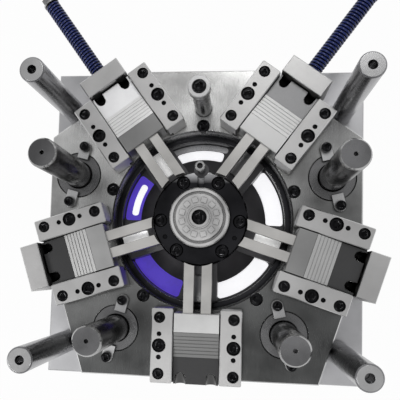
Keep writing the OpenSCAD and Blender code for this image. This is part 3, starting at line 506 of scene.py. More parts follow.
# Painted light on the rods' upward end faces
ROD_STEEL = Finish(
    "rod_steel", (0.26, 0.26, 0.27), roughness=0.26, spread=0.05, stain=0.2, grain=Grain.AROUND_Z,
    depth=0.01 * MM, facing=Facing(low=0.97, high=UPMOST, colour=(0.5, 0.5, 0.5)))
BRIGHT = Finish("bright_pin", (0.72, 0.72, 0.74), roughness=0.22, spread=0.05, stain=0.1)
# Strong painted shade in the bushes' gaps
BUSH_STEEL = Finish("bush_steel", (0.16, 0.16, 0.162), roughness=0.28, stain=0.3, corner_shade=0.9)
# Strong, wide painted shade that blackens the pin's socket
HUB_PIN_STEEL = Finish(
    "hub_pin_steel", (0.42, 0.42, 0.42), roughness=0.25, stain=0.2, corner_shade=0.99, reach=12.0 * MM)
RING_BLACK = Finish(
    "ring_black", (0.03, 0.03, 0.033), roughness=0.2, spread=0.1, stain=0.5, facing=CHAMFER_HIGHLIGHT)
BLACK_CORE = Finish(
    "black_core", (0.075, 0.073, 0.078), roughness=0.34, spread=0.06, stain=0.4, metallic=0.0,
    corner_shade=0.0)
# Hub flange with a painted highlight at its top and strong painted shade in its corners
HUB_BLACK = Finish(
    "hub_black", (0.02, 0.02, 0.022), roughness=0.2, spread=0.1, stain=0.5, zone=HUB_PAINTED_HIGHLIGHT, corner_shade=0.9)
# Strong painted shade round the disc's pads and grooves
DISC_STEEL = Finish(
    "disc_steel", (0.62, 0.615, 0.61), roughness=0.3, spread=0.1, stain=0.4, grain_size=90.0,
    depth=0.12 * MM, corner_shade=0.95, reach=5.0 * MM)
# Painted highlight on the cam channels' upward faces
CAM_STEEL = Finish(
    "cam_steel", (0.07, 0.07, 0.07), roughness=0.2, spread=0.04, stain=0.1,
    facing=Facing(low=0.8, high=UPMOST, colour=(0.34, 0.34, 0.34)), corner_shade=0.0)
# Painted glints on the screws' chamfers
SCREW_BLACK = Finish(
    "screw_black", (0.013, 0.013, 0.014), roughness=0.18, stain=0.3,
    facing=Facing(low=0.3, high=0.9, colour=(0.26, 0.26, 0.27)))
CLIP_STEEL = Finish("worn_clip", (0.50, 0.50, 0.50), roughness=0.32, stain=0.2)
# Strong painted shade between the spring's turns
SPRING_BLUE = Finish(
    "navy_enamel", (0.006, 0.018, 0.13), roughness=0.14, spread=0.04, stain=0.2, metallic=0.0,
    corner_shade=0.85)
FLOOR_DARK = Finish(
    "floor_dark", (0.06, 0.06, 0.065), roughness=0.3, stain=0.3, metallic=0.0, corner_shade=0.0)
# Painted light: a glowing white patch stands in for a window floor lit from above
FLOOR_PAINTED_LIGHT = Finish(
    "floor_painted_light", (0.98, 0.98, 1.0), roughness=0.5, spread=0.05, stain=0.0, metallic=0.0, corner_shade=0.0,
    glow=0.75)
# Violet colour of the floor, with a glow that is painted light
FLOOR_VIOLET = Finish(
    "floor_violet", (0.13, 0.065, 0.85), roughness=0.4, spread=0.05, stain=0.45, metallic=0.0,
    cloud_size=30.0, corner_shade=0.0, glow=0.32)
FLOOR_GREY = Finish("floor_grey", (0.42, 0.42, 0.43), roughness=0.3, stain=0.3, corner_shade=0.0)
# Painted light and shade: the spoke strips in a lit, glowing copy and a shaded grey copy
STRIP_PAINTED_LIT = Finish(
    "strip_painted_lit", (0.95, 0.95, 0.94), roughness=0.35, spread=0.05, stain=0.05, corner_shade=0.0, glow=0.25)
STRIP_PAINTED_SHADE = Finish(
    "strip_painted_shade", (0.20, 0.20, 0.20), roughness=0.35, spread=0.05, stain=0.2, corner_shade=0.0)


@dataclass(frozen=True)
class SlidePaintedLight:
    """Painted light and shade on the ground faces of one slide: how bright each is painted for how it faces
    the lamps, as a share of full reflection.

    Args:
        nose: Flat nose before the heel plate.
        heel: Sloping heel plate.
        tail: Tail behind the heel plate.
    """

    nose: float
    heel: float
    tail: float


# Painted light and shade: the same ground steel is coloured lighter or darker on each slide by how it faces
# the lamps
SLIDE_PAINTED_LIGHT = {
    1: SlidePaintedLight(0.24, 0.97, 0.97),
    2: SlidePaintedLight(0.54, 0.74, 0.32),
    3: SlidePaintedLight(0.28, 0.62, 0.085),
    4: SlidePaintedLight(0.59, 0.29, 0.075),
    5: SlidePaintedLight(0.41, 0.47, 0.062),
}


@dataclass(frozen=True)
class WindowPatch:
    """Patch on a shut-off floor; the glowing ones are painted light.

    Args:
        start: Angle at which it begins, in degrees.
        end: Angle at which it ends, in degrees.
        inner: Inner radius in millimetres.
        outer: Outer radius in millimetres.
        finish: Its finish.
        level: Height above the floor in millimetres.
    """

    start: float
    end: float
    inner: float
    outer: float
    finish: Finish
    level: float = 0.0


# Patches on the window floors; the white and violet ones glow as painted light
WINDOW_PATCHES = (
    WindowPatch(74.0, 113.0, 90.0, 103.0, FLOOR_PAINTED_LIGHT),
    WindowPatch(72.0, 115.0, 103.5, 111.5, FLOOR_GREY),
    WindowPatch(-1.5, 41.5, 87.5, 111.0, FLOOR_PAINTED_LIGHT),
    WindowPatch(-77.5, -31.0, 87.5, 109.5, FLOOR_PAINTED_LIGHT),
    WindowPatch(-150.5, -107.0, 87.0, 111.8, FLOOR_VIOLET),
    WindowPatch(143.0, 179.0, 87.5, 111.5, FLOOR_VIOLET),
    WindowPatch(148.0, 175.0, 93.5, 103.0, FLOOR_PAINTED_LIGHT, 0.1),
)

# Slides whose strips are painted lit and glowing; the others are painted in shade
LIT_STRIPS = (1, 3, 5)
# Least width of a head that is just 1.5 times as wide as its thread
LARGE_HEAD = 18.0 * MM


def slide_angle(number: int) -> float:
    """Gives the direction of a slide in degrees, by its number from 1."""
    return FIRST_SLIDE - SLIDE_STEP * (number - 1)


def along_slide(node: str, angle: float) -> list[float]:
    """Measures how far each corner of a node lies from the mould axis, along a direction in degrees."""
    direction = Vector(outward(angle))
    return [vert.co.dot(direction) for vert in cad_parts[node].data.vertices]


def activate(piece: Piece) -> None:
    """Makes a piece the only selected object and the active one.

    Args:
        piece: The piece to work on.
    """
    for other in bpy.context.selected_objects:
        other.select_set(False)
    piece.select_set(True)
    bpy.context.view_layer.objects.active = piece


class Choice(Enum):
    """What is selected when a piece is opened for editing."""

    ALL = "SELECT"
    NONE = "DESELECT"
    AS_IT_IS = ""


@contextmanager
def editing(choice: Choice = Choice.ALL) -> Iterator[None]:
    """Opens the active piece for editing, and closes it after the work.

    Args:
        choice: What is selected at first.

    Yields:
        Nothing.
    """
    bpy.ops.object.mode_set(mode="EDIT")
    if choice is not Choice.AS_IT_IS:
        bpy.ops.mesh.select_all(action=choice.value)
    yield
    bpy.ops.object.mode_set(mode="OBJECT")


def pick(piece: Piece, wanted: Callable[[bpy.types.MeshVertex], bool]) -> None:
    """Selects the wanted corners of the active piece, and nothing else.

    Args:
        piece: The piece.
        wanted: Tells whether a corner is wanted.
    """
    bpy.ops.object.mode_set(mode="EDIT")
    bpy.ops.mesh.select_all(action="DESELECT")
    bpy.ops.object.mode_set(mode="OBJECT")
    for vert in piece.data.vertices:
        vert.select = wanted(vert)


def cut_off(point: Point, normal: Point) -> None:
    """Cuts away, in edit mode, what lies beyond a plane, on the side that its normal points to."""
    bpy.ops.mesh.select_all(action="SELECT")
    bpy.ops.mesh.bisect(plane_co=point, plane_no=normal, clear_outer=True)


def mounted(piece: Piece, finish: Finish, body: str, node: str = "") -> None:
    """Gives a finished piece its material, sets it on its body and reports it.

    Args:
        piece: The piece.
        finish: Finish of its surface.
        body: Body that it rides on.
        node: Name of the node that it replaces, if there is one.
    """
    piece.data.materials.clear()
    piece.data.materials.append(finish.material())
    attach(piece, body)
    if node:
        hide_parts(node)
    LOG.info("piece %s: %s, %d faces", piece.name, finish.name, len(piece.data.polygons))


def dress_node(name: str, finish: Finish) -> None:
    """Gives a carried-over node its finish.

    Args:
        name: Name of the node.
        finish: Finish of its surface.
    """
    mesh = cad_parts[name].data
    mesh.materials.clear()
    mesh.materials.append(finish.material())
    LOG.info("node %s: %s", name, finish.name)


def softened(name: str, finish: Finish, body: str, width: float) -> None:
    """Copies a node, rounds its edges and puts the copy in its place.

    Args:
        name: Name of the node.
        finish: Finish of its surface.
        body: Body that it rides on.
        width: Width of the rounding.
    """
    piece = bpy.data.objects.new(f"{name}_worn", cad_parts[name].data.copy())
    bpy.context.scene.collection.objects.link(piece)
    activate(piece)
    bpy.ops.mesh.customdata_custom_splitnormals_clear()
    with editing():
        bpy.ops.mesh.remove_doubles(threshold=MERGE_GAP)
        bpy.ops.mesh.dissolve_limited(angle_limit=FLAT_ANGLE)
    rounding = piece.modifiers.new("edges", "BEVEL")
    rounding.width = width
    rounding.segments = ROUND_STEPS
    rounding.limit_method = "ANGLE"
    rounding.angle_limit = EDGE_ANGLE
    rounding.harden_normals = True
    bpy.ops.object.shade_smooth_by_angle(angle=SMOOTH_ANGLE)
    bpy.ops.object.modifier_apply(modifier=rounding.name)
    mounted(piece, finish, body, name)


def new_mesh_piece(name: str) -> Piece:
    """Names the object that a primitive operator has just added.

    Args:
        name: Name of the piece.

    Returns:
        The piece.
    """
    piece = bpy.context.active_object
    piece.name = name
    piece.data.name = name
    return piece


def apply_modifiers(piece: Piece) -> None:
    """Applies every modifier of a piece, in order.

    Args:
        piece: The piece.
    """
    activate(piece)
    for modifier in list(piece.modifiers):
        bpy.ops.object.modifier_apply(modifier=modifier.name)


def thickened(piece: Piece, thickness: float, offset: float) -> None:
    """Gives a thin face its thickness.

    Args:
        piece: The piece.
        thickness: Its thickness.
        offset: Side that it grows to, from -1 for the back to 1 for the front.
    """
    sheet = piece.modifiers.new("sheet", "SOLIDIFY")
    sheet.thickness = thickness
    sheet.offset = offset
    apply_modifiers(piece)


def solids(name: str) -> list[tuple[Vector, Vector]]:
    """Finds the separate solids of a node.

    Args:
        name: Name of the node.

    Returns:
        The lowest and highest corner of each solid.
    """
    work = bmesh.new()
    work.from_mesh(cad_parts[name].data)
    bmesh.ops.remove_doubles(work, verts=work.verts, dist=MERGE_GAP)
    seen: set[bmesh.types.BMVert] = set()
    found = []
    for start in work.verts:
        if start in seen:
            continue
        seen.add(start)
        queue, members = [start], []
        while queue:
            vert = queue.pop()
            members.append(vert.co.copy())
            for edge in vert.link_edges:
                other = edge.other_vert(vert)
                if other not in seen:
                    seen.add(other)
                    queue.append(other)
        low = Vector(min(co[axis] for co in members) for axis in range(3))
        high = Vector(max(co[axis] for co in members) for axis in range(3))
        found.append((low, high))
    work.free()
    return sorted(found, key=lambda pair: (round(pair[0].x, 4), round(pair[0].y, 4)))


@dataclass
class SocketScrews:
    """Socket head screws of one node, upright, each with a knurled head and a six-sided socket.

    Attributes:
        node: Name of the node that they replace.
        body: Body that they ride on.
        finish: Their finish.
        knurls: Number of ridges round a head.
        knurl_share: Radius in the knurl's grooves, as a share of the head's.
        rim_share: Rounding of the rim, as a share of the thread size.
        socket_share: Radius over the socket's corners, as a share of the thread size.
        turn: Angle in degrees by which each screw is turned against the one before.
        shank_sides: Number of faces round the shank.
    """

    node: str
    body: str
    finish: Finish
    knurls: int = 36
    knurl_share: float = 0.965
    rim_share: float = 0.06
    socket_share: float = 0.45
    turn: float = 37.0
    shank_sides: int = 24

    def build(self) -> None:
        """Models one screw of each size and copies it to its places."""
        made: dict[tuple[int, int], Piece] = {}
        copies = []
        for index, (low, high) in enumerate(solids(self.node)):
            head, length = high.x - low.x, high.z - low.z
            key = (round(head / MM), round(length / MM))
            if key not in made:
                made[key] = self._model(head, length)
            copy = made[key].copy()
            copy.data = made[key].data.copy()
            bpy.context.scene.collection.objects.link(copy)
            middle = (low + high) / 2
            turned = Matrix.Rotation(math.radians(self.turn * index), 4, "Z")
            copy.data.transform(Matrix.Translation((middle.x, middle.y, high.z)) @ turned)
            copies.append(copy)
        for original in made.values():
            bpy.data.objects.remove(original)
        activate(copies[0])
        for copy in copies:
            copy.select_set(True)
        bpy.ops.object.join()
        mounted(new_mesh_piece(f"{self.node}_knurled"), self.finish, self.body, self.node)

    def _thread(self, head: float) -> float:
        """Finds the thread of a head that is 1.5 times as wide, and 1 mm more where it is small."""
        wide = head / MM
        return round((wide - 1.0) / 1.5 if wide < LARGE_HEAD / MM else wide / 1.5) * MM

    def _model(self, head: float, length: float) -> Piece:
        """Models one screw with the top of its head at the origin.

        Args:
            head: Diameter of the head.
            length: Whole length of the screw.

        Returns:
            The screw.
        """
        size = self._thread(head)
        bpy.ops.mesh.primitive_cylinder_add(
            vertices=2 * self.knurls, radius=head / 2, depth=size, location=(0, 0, -size / 2))
        screw = new_mesh_piece("screw")
        pick(screw, lambda vert: round(math.atan2(vert.co.y, vert.co.x) / math.pi * self.knurls) % 2 == 0)
        with editing(Choice.AS_IT_IS):
            grooves = (self.knurl_share, self.knurl_share, 1.0)
            bpy.ops.transform.resize(value=grooves, center_override=(0, 0, 0))
        self._cut_socket(screw, size)
        rim = screw.modifiers.new("rim", "BEVEL")
        rim.width = self.rim_share * size
        rim.segments = ROUND_STEPS
        rim.limit_method = "ANGLE"
        rim.angle_limit = RIM_ANGLE
        apply_modifiers(screw)
        shank_length = length - size
        bpy.ops.mesh.primitive_cylinder_add(
            vertices=self.shank_sides, radius=size / 2, depth=shank_length,
            location=(0, 0, -size - shank_length / 2))
        shank = new_mesh_piece("shank")
        activate(screw)
        shank.select_set(True)
        bpy.ops.object.join()
        bpy.ops.object.transform_apply(location=True, rotation=True, scale=True)
        bpy.ops.object.shade_smooth_by_angle(angle=SMOOTH_ANGLE)
        return bpy.context.active_object

    def _cut_socket(self, screw: Piece, size: float) -> None:
        """Cuts the six-sided socket.

        Args:
            screw: The head.
            size: Thread size of the screw.
        """
        bpy.ops.mesh.primitive_cylinder_add(
            vertices=6, radius=self.socket_share * size, depth=size, location=(0, 0, 0))
        cutter = new_mesh_piece("socket")
        cut = screw.modifiers.new("socket", "BOOLEAN")
        cut.operation = "DIFFERENCE"
        cut.solver = "EXACT"
        cut.object = cutter
        apply_modifiers(screw)
        bpy.data.objects.remove(cutter)


# Rays that see the white backdrop
SEEING_RAYS = ("Is Camera Ray", "Is Glossy Ray", "Is Transmission Ray")
WHITE = (1.0, 1.0, 1.0, 1.0)


@dataclass(frozen=True)
class SoftBox:
    """A lamp that faces down.

    Attributes:
        name: Its name.
        place: Its centre.
        size: Its sides along X and Y.
        power: Its power in watts.
    """

    name: str
    place: Point
    size: tuple[float, float]
    power: float

    def hang(self) -> None:
        """Hangs the lamp in its place."""
        data = bpy.data.lights.new(self.name, "AREA")
        data.shape = "RECTANGLE"
        data.size, data.size_y = self.size
        data.energy = self.power
        lamp = bpy.data.objects.new(self.name, data)
        lamp.location = self.place
        bpy.context.scene.collection.objects.link(lamp)


SOFT_BOXES = (
    SoftBox("left_box", (-1.5, -0.9, 1.9), (0.8, 0.8), 16.0),
    SoftBox("top_box", (0.15, 1.1, 2.0), (0.7, 0.5), 5.0),
    SoftBox("front_box", (-0.1, -0.6, 1.9), (0.25, 0.15), 1.2),
)


@dataclass
class Studio:
    """Floor, lamps, surroundings and camera.

    Attributes:
        parting_z: Height of the gibs' upper faces, which the camera's place is measured from.
        camera_offset: Place of the camera from there.
        focal_share: Focal length as a share of the sensor's width.
        sensor: Width of the sensor in millimetres.
        shift: Shift of the lens, as a share of the sensor's width.
        right: Direction of the picture's right side.
        up: Direction of the picture's upper side.
        back: Direction away from what the camera sees.
        floor_size: Side of the floor.
        floor_gap: Gap between the part and the floor.
        floor_colour: Colour that the floor throws back.
        floor_roughness: Roughness of the floor.
        floor_glow: How far the floor shows white to the seeing rays, as a share.
        sky_light: Height and brightness of the surroundings as light.
        sky_view: Height and brightness of the surroundings as metal mirrors them.
    """

    parting_z: float
    camera_offset: Point = (0.05070, -0.06852, 0.75932)
    focal_share: float = 597.72 / 400.0
    sensor: float = 36.0
    shift: tuple[float, float] = (0.100, 0.0658)
    right: Point = (0.99117, 0.03039, -0.12908)
    up: Point = (-0.02071, 0.99692, 0.07570)
    back: Point = (0.13098, -0.07236, 0.98874)
    floor_size: float = 12.0
    floor_gap: float = 0.5 * MM
    floor_colour: Colour = (0.6, 0.6, 0.61)
    floor_roughness: float = 0.9
    floor_glow: float = 0.97
    sky_light: tuple[tuple[float, float], ...] = ((0.0, 0.75), (0.4, 0.22), (1.0, 0.76))
    sky_view: tuple[tuple[float, float], ...] = ((0.0, 1.0), (0.1, 1.0), (0.4, 0.2), (1.0, 0.76))

    def build(self) -> None:
        """Builds the stage, the light and the camera."""
        self._camera()
        self._floor()
        self._world()
        for box in SOFT_BOXES:
            box.hang()

    def _camera(self) -> None:
        """Places the camera where the photograph was taken from."""
        data = bpy.data.cameras.new("camera")
        data.sensor_width = self.sensor
        data.lens = self.sensor * self.focal_share
        data.shift_x, data.shift_y = self.shift
        camera = bpy.data.objects.new("camera", data)
        bpy.context.scene.collection.objects.link(camera)
        turn = Matrix((self.right, self.up, self.back)).transposed().to_4x4()
        place = Vector(self.camera_offset) + Vector((0, 0, self.parting_z))
        camera.matrix_world = Matrix.Translation(place) @ turn
        bpy.context.scene.camera = camera

    def _floor(self) -> None:
        """Lays the pale floor, which looks white to the camera and keeps the shadow."""
        bpy.ops.mesh.primitive_plane_add(size=self.floor_size, location=(0, 0, cad_low.z - self.floor_gap))
        floor = bpy.context.active_object
        floor.name = "floor"
        made = bpy.data.materials.new("pale_floor")
        made.use_nodes = True
        tree = made.node_tree
        shader = tree.nodes["Principled BSDF"]
        shader.inputs["Base Color"].default_value = (*self.floor_colour, 1.0)
        shader.inputs["Roughness"].default_value = self.floor_roughness
        glow = tree.nodes.new("ShaderNodeEmission")
        glow.inputs["Color"].default_value = WHITE
        mix = tree.nodes.new("ShaderNodeMixShader")
        share = reckoned(tree, "MULTIPLY", self._seen(tree, SEEING_RAYS), self.floor_glow)
        tree.links.new(share, mix.inputs["Fac"])
        tree.links.new(shader.outputs["BSDF"], mix.inputs[1])
        tree.links.new(glow.outputs["Emission"], mix.inputs[2])
        tree.links.new(mix.outputs["Shader"], tree.nodes["Material Output"].inputs["Surface"])
        floor.data.materials.append(made)

    def _seen(self, tree: Tree, names: tuple[str, ...]) -> Socket:
        """Tells rays of the named kinds from the others.

        Args:
            tree: Node tree of the floor or the world.
            names: Outputs of the Light Path node.

        Returns:
            A socket that is 1 for rays of these kinds.
        """
        path = tree.nodes.new("ShaderNodeLightPath")
        seen = path.outputs[names[0]]
        for name in names[1:]:
            seen = reckoned(tree, "MAXIMUM", seen, path.outputs[name])
        return seen

    def _sky(self, tree: Tree, height: Socket, steps: tuple[tuple[float, float], ...]) -> Socket:
        """Grades the surroundings by height, 0 at the horizon and 1 above, a little cooler than grey."""
        return graded(tree, height, tuple((place, (v, v, min(1.0, COOL * v))) for place, v in steps))

    def _world(self) -> None:
        """Sets surroundings with a white backdrop, a dim band above it and a pale ceiling."""
        world = bpy.data.worlds.new("studio")
        bpy.context.scene.world = world
        world.use_nodes = True
        tree = world.node_tree
        split = tree.nodes.new("ShaderNodeSeparateXYZ")
        direction = tree.nodes.new("ShaderNodeTexCoord").outputs["Generated"]
        tree.links.new(direction, split.inputs["Vector"])
        height = split.outputs["Z"]
        mirrored = blended(
            tree, self._seen(tree, SEEING_RAYS), self._sky(tree, height, self.sky_light),
            self._sky(tree, height, self.sky_view))
        shown = blended(tree, self._seen(tree, SEEING_RAYS[:1]), mirrored, WHITE)
        tree.links.new(shown, tree.nodes["Background"].inputs["Color"])


class SubAssembly:
    """A group of pieces that are dressed together."""

    def build(self) -> None:
        """Dresses every piece of the group."""
        raise NotImplementedError


@dataclass
class MouldBase(SubAssembly):
    """Clamp plate, spacer blocks, core plate and what stands in the ejector box.

    Attributes:
        plate_edge: Rounding of the plates' edges.
        rod_edge: Rounding of the pins' and rods' ends.
    """

    plate_edge: float = 0.8 * MM
    rod_edge: float = 0.4 * MM

    def build(self) -> None:
        """Dresses the base."""
        for name in ("bottom_clamp_plate", "spacer_blocks", "core_plate"):
            softened(name, FRAME_PLATE, BASE, self.plate_edge)
        for name in ("ejector_plate", "ejector_retainer_plate"):
            softened(name, FRAME_PLATE, STRIPPER, self.plate_edge)
        for name in ("support_pillars", "push_rods", "ejector_guide_pins"):
            dress_node(name, PIN_STEEL)
        softened("leader_pins", PIN_STEEL, BASE, self.rod_edge)
        softened("limit_rods", ROD_STEEL, BASE, self.rod_edge)
        for name in ("base_screws", "core_screws", "ejector_screws", "stop_buttons"):
            dress_node(name, SCREW_BLACK)
        dress_node("limit_post", PIN_STEEL)
        dress_node("limit_collar", CLIP_STEEL)
        SocketScrews("limit_screw", BASE, SCREW_BLACK).build()


@dataclass
class Core(SubAssembly):
    """Black core with its hub, disc, windows and strips.

    Attributes:
        core_edge: Rounding of the core's and the hub's edges.
        strip_edge: Rounding of the strips' edges.
        patch_lift: Height of a patch's middle above the floor.
        patch_sheet: Thickness of a patch.
        patch_corner: Radius of a patch's corners.
        corner_steps: Number of faces round a corner.
        patch_steps: Number of faces along a patch.
    """

    core_edge: float = 0.5 * MM
    strip_edge: float = 0.6 * MM
    patch_lift: float = 0.1 * MM
    patch_sheet: float = 0.2 * MM
    patch_corner: float = 4.0 * MM
    corner_steps: int = 4
    patch_steps: int = 9

    def build(self) -> None:
        """Dresses the core."""
        softened("spoke_core", BLACK_CORE, BASE, self.core_edge)
        softened("hub_flange", HUB_BLACK, BASE, self.core_edge)
        dress_node("core_disc", DISC_STEEL)
        dress_node("window_floors", FLOOR_DARK)
        dress_node("hub_pin", HUB_PIN_STEEL)
        self._strips()
        for number, patch in enumerate(WINDOW_PATCHES, 1):
            self._patch(number, patch)
        dress_node("hub_dowels", SCREW_BLACK)
        for name in ("hub_screws", "core_disc_screw"):
            SocketScrews(name, BASE, SCREW_BLACK).build()

    def _strips(self) -> None:
        """Models the strip along each spoke as a bar with rounded edges, in the place of the plain ones;
        some are painted lit and the others painted in shade.
        """
        low, high = min(solids("spoke_strips"), key=lambda pair: pair[0].y)
        inner, outer, width = -high.y, -low.y, high.x - low.x
        for number in range(1, SLIDE_COUNT + 1):
            bpy.ops.mesh.primitive_cube_add(size=1.0, location=(0, 0, 0))
            bar = new_mesh_piece(f"spoke_strip_{number}")
            bar.scale = (outer - inner, width, high.z - low.z)
            activate(bar)
            bpy.ops.object.transform_apply(location=True, rotation=True, scale=True)
            edge = bar.modifiers.new("edge", "BEVEL")
            edge.width = self.strip_edge
            edge.segments = ROUND_STEPS
            apply_modifiers(bar)
            bpy.ops.object.shade_smooth_by_angle(angle=SMOOTH_ANGLE)
            place = Matrix.Translation(((outer + inner) / 2, 0, (low.z + high.z) / 2))
            bar.data.transform(Matrix.Rotation(math.radians(slide_angle(number)), 4, "Z") @ place)
            finish = STRIP_PAINTED_LIT if number in LIT_STRIPS else STRIP_PAINTED_SHADE
            mounted(bar, finish, BASE, "spoke_strips")

    def _patch(self, number: int, patch: WindowPatch) -> None:
        """Models one thin patch with round corners, let into a window's floor.

        Args:
            number: Number of the patch.
            patch: Its place and finish.
        """
        bpy.ops.mesh.primitive_plane_add(size=1.0, location=(0, 0, 0))
        piece = new_mesh_piece(f"window_patch_{number}")
        with editing():
            width = (patch.outer - patch.inner) * MM
            bpy.ops.transform.resize(value=(width, 1.0, 1.0), center_override=(0, 0, 0))
            bpy.ops.transform.translate(value=((patch.outer + patch.inner) / 2 * MM, 0.5, 0))
        pick(piece, lambda vert: vert.co.y > 0.5)
        with editing(Choice.AS_IT_IS):
            bpy.ops.mesh.delete(type="VERT")
            bpy.ops.mesh.select_all(action="SELECT")
            start = math.radians(-patch.start)
            bpy.ops.transform.rotate(value=start, orient_axis="Z", center_override=(0, 0, 0))
        sweep = piece.modifiers.new("sweep", "SCREW")
        sweep.angle = math.radians(patch.end - patch.start)
        sweep.steps = sweep.render_steps = self.patch_steps
        apply_modifiers(piece)
        self._round_corners(piece)
        thickened(piece, self.patch_sheet, 0.0)
        bpy.ops.object.shade_smooth_by_angle(angle=SMOOTH_ANGLE)
        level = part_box("window_floors")[1].z + self.patch_lift + patch.level * MM
        piece.data.transform(Matrix.Translation((0, 0, level)))
        mounted(piece, patch.finish, BASE)

    def _round_corners(self, piece: Piece) -> None:
        """Rounds the four corners of a flat band, which are the only ones with two edges.

        Args:
            piece: The band.
        """
        meeting = [index for edge in piece.data.edges for index in edge.vertices]
        pick(piece, lambda vert: meeting.count(vert.index) == 2)
        with editing(Choice.AS_IT_IS):
            bpy.ops.mesh.select_mode(type="VERT")
            bpy.ops.mesh.bevel(offset=self.patch_corner, segments=self.corner_steps, affect="VERTICES")


@dataclass
class StripperGroup(SubAssembly):
    """Stripper plate with its ring, bushes, gibs and stop blocks.

    Attributes:
        plate_edge: Rounding of the plate's edges.
        block_edge: Rounding of the edges of what is fixed to it.
        bush_edge: Rounding of the bushes' edges.
    """

    plate_edge: float = 0.6 * MM
    block_edge: float = 0.4 * MM
    bush_edge: float = 0.3 * MM

    def build(self) -> None:
        """Dresses the stripper plate and what is fixed to it."""
        softened("stripper_plate", PLATE, STRIPPER, self.plate_edge)
        softened("stripper_ring", RING_BLACK, STRIPPER, self.block_edge)
        softened("gibs", SATIN, STRIPPER, self.block_edge)
        softened("stop_blocks", SATIN, STRIPPER, self.block_edge)
        softened("guide_bushes", BUSH_STEEL, STRIPPER, self.bush_edge)
        softened("bush_clips", CLIP_STEEL, STRIPPER, self.block_edge)
        for name in ("gib_dowel_pins", "stop_block_screws"):
            dress_node(name, SCREW_BLACK)
        for name in ("ring_screws", "clip_screws", "gib_screws"):
            SocketScrews(name, STRIPPER, SCREW_BLACK).build()
        dress_node("slide_stop_pin", BRIGHT)


@dataclass
class SlideUnit(SubAssembly):
    """One slide with its heel plate and blades.

    Attributes:
        number: Number of the slide, from 1.
        ground: Roughness of the tail and the heel plate.
        blade_edge: Rounding of the blades' edges.
        heel_lap: Distance from the heel plate's front to the tail's finish, which starts under the plate.
        cam_radius: Radius of a cam channel.
        cam_sides: Number of faces round the tube that a channel is cut from.
        cam_spare: Length of that tube, as a multiple of the channel's height.
        cam_side: Distance of a channel from the slide's middle.
        cam_depth: Reach of a channel from the slide's back, at its top.
        cam_floor: Height of a channel's lower end above the slide's underside.
        cam_top_drop: Depth of a channel's upper end below the slide's top.
        cam_run: How far a channel leans out over its height.
        cam_sheet: Thickness of the channel's polished face.
        cam_back: Gap between the channel's end and the slide's back.
    """

    number: int
    ground: float = 0.5
    blade_edge: float = 0.3 * MM
    heel_lap: float = 1.0 * MM
    cam_radius: float = 6.5 * MM
    cam_sides: int = 48
    cam_spare: float = 4.0
    cam_side: float = 19.5 * MM
    cam_depth: float = 15.8 * MM
    cam_floor: float = 15.1 * MM
    cam_top_drop: float = 9.3 * MM
    cam_run: float = 17.0 * MM
    cam_sheet: float = 0.15 * MM
    cam_back: float = 0.2 * MM

    def build(self) -> None:
        """Dresses the slide."""
        body = f"slide_{self.number}"
        dress_node(f"slide_block_{self.number}", self._block_finish())
        dress_node(f"heel_plate_{self.number}", self._heel_finish())
        softened(f"slide_blades_{self.number}", BLADE_STEEL, body, self.blade_edge)
        self._cam_channels(slide_angle(self.number), body)

    def _block_finish(self) -> Finish:
        """Picks the finish of the slide's block, with painted light and shade on the nose and the tail.

        Returns:
            The finish.
        """
        # Painted light and shade of this slide's faces
        painted_look = SLIDE_PAINTED_LIGHT[self.number]
        angle = slide_angle(self.number)
        heel_front = min(along_slide(f"heel_plate_{self.number}", angle))
        cool_tail = (painted_look.tail, painted_look.tail, painted_look.tail * COOL)
        warm_nose = (painted_look.nose, painted_look.nose, painted_look.nose * WARM)
        tail = Zone(angle=angle, limit=heel_front + self.heel_lap, colour=cool_tail, roughness=self.ground)
        return Finish(
            f"slide_steel_{self.number}", warm_nose, roughness=0.34, spread=0.06, stain=0.12,
            depth=0.004 * MM, zone=tail, facing=CAM_WALL_HIGHLIGHT, corner_shade=0.3)

    def _heel_finish(self) -> Finish:
        """Picks the finish of the slide's heel plate, with its painted light and shade."""
        heel = SLIDE_PAINTED_LIGHT[self.number].heel
        return Finish(
            f"heel_steel_{self.number}", (heel, heel, heel * WARM), roughness=self.ground, spread=0.05,
            stain=0.08, depth=0.01 * MM, corner_shade=0.25)

    def _cam_channels(self, angle: float, body: str) -> None:
        """Models the polished leaning walls that the finger cams run on, inside the two notches.

        Args:
            angle: Direction of the slide in degrees.
            body: Body that it rides on.
        """
        node = f"slide_block_{self.number}"
        low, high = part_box(node)
        back = max(along_slide(node, angle))
        floor, top = low.z + self.cam_floor, high.z - self.cam_top_drop
        lean = math.atan2(self.cam_run, top - floor)
        bpy.ops.mesh.primitive_cylinder_add(
            vertices=self.cam_sides, radius=self.cam_radius, depth=self.cam_spare * (top - floor),
            end_fill_type="NOTHING", location=(0, 0, 0))
        channel = new_mesh_piece(f"cam_channels_{self.number}")
        with editing():
            cut_off((0, 0, 0), (1, 0, 0))
            bpy.ops.mesh.select_all(action="SELECT")
            bpy.ops.transform.rotate(value=lean, orient_axis="Y", center_override=(0, 0, 0))
            reach = back - self.cam_depth + self.cam_radius / math.cos(lean)
            bpy.ops.transform.translate(value=(reach, self.cam_side, top))
            cut_off((0, 0, top), (0, 0, 1))
            cut_off((0, 0, floor), (0, 0, -1))
            cut_off((back - self.cam_back, 0, 0), (1, 0, 0))
        other = channel.modifiers.new("other", "MIRROR")
        other.use_axis = (False, True, False)
        apply_modifiers(channel)
        with editing():
            bpy.ops.mesh.normals_make_consistent(inside=True)
        thickened(channel, self.cam_sheet, -1.0)
        bpy.ops.object.shade_smooth_by_angle(angle=WIDE_SMOOTH_ANGLE)
        channel.data.transform(Matrix.Rotation(math.radians(angle), 4, "Z"))
        mounted(channel, CAM_STEEL, body)


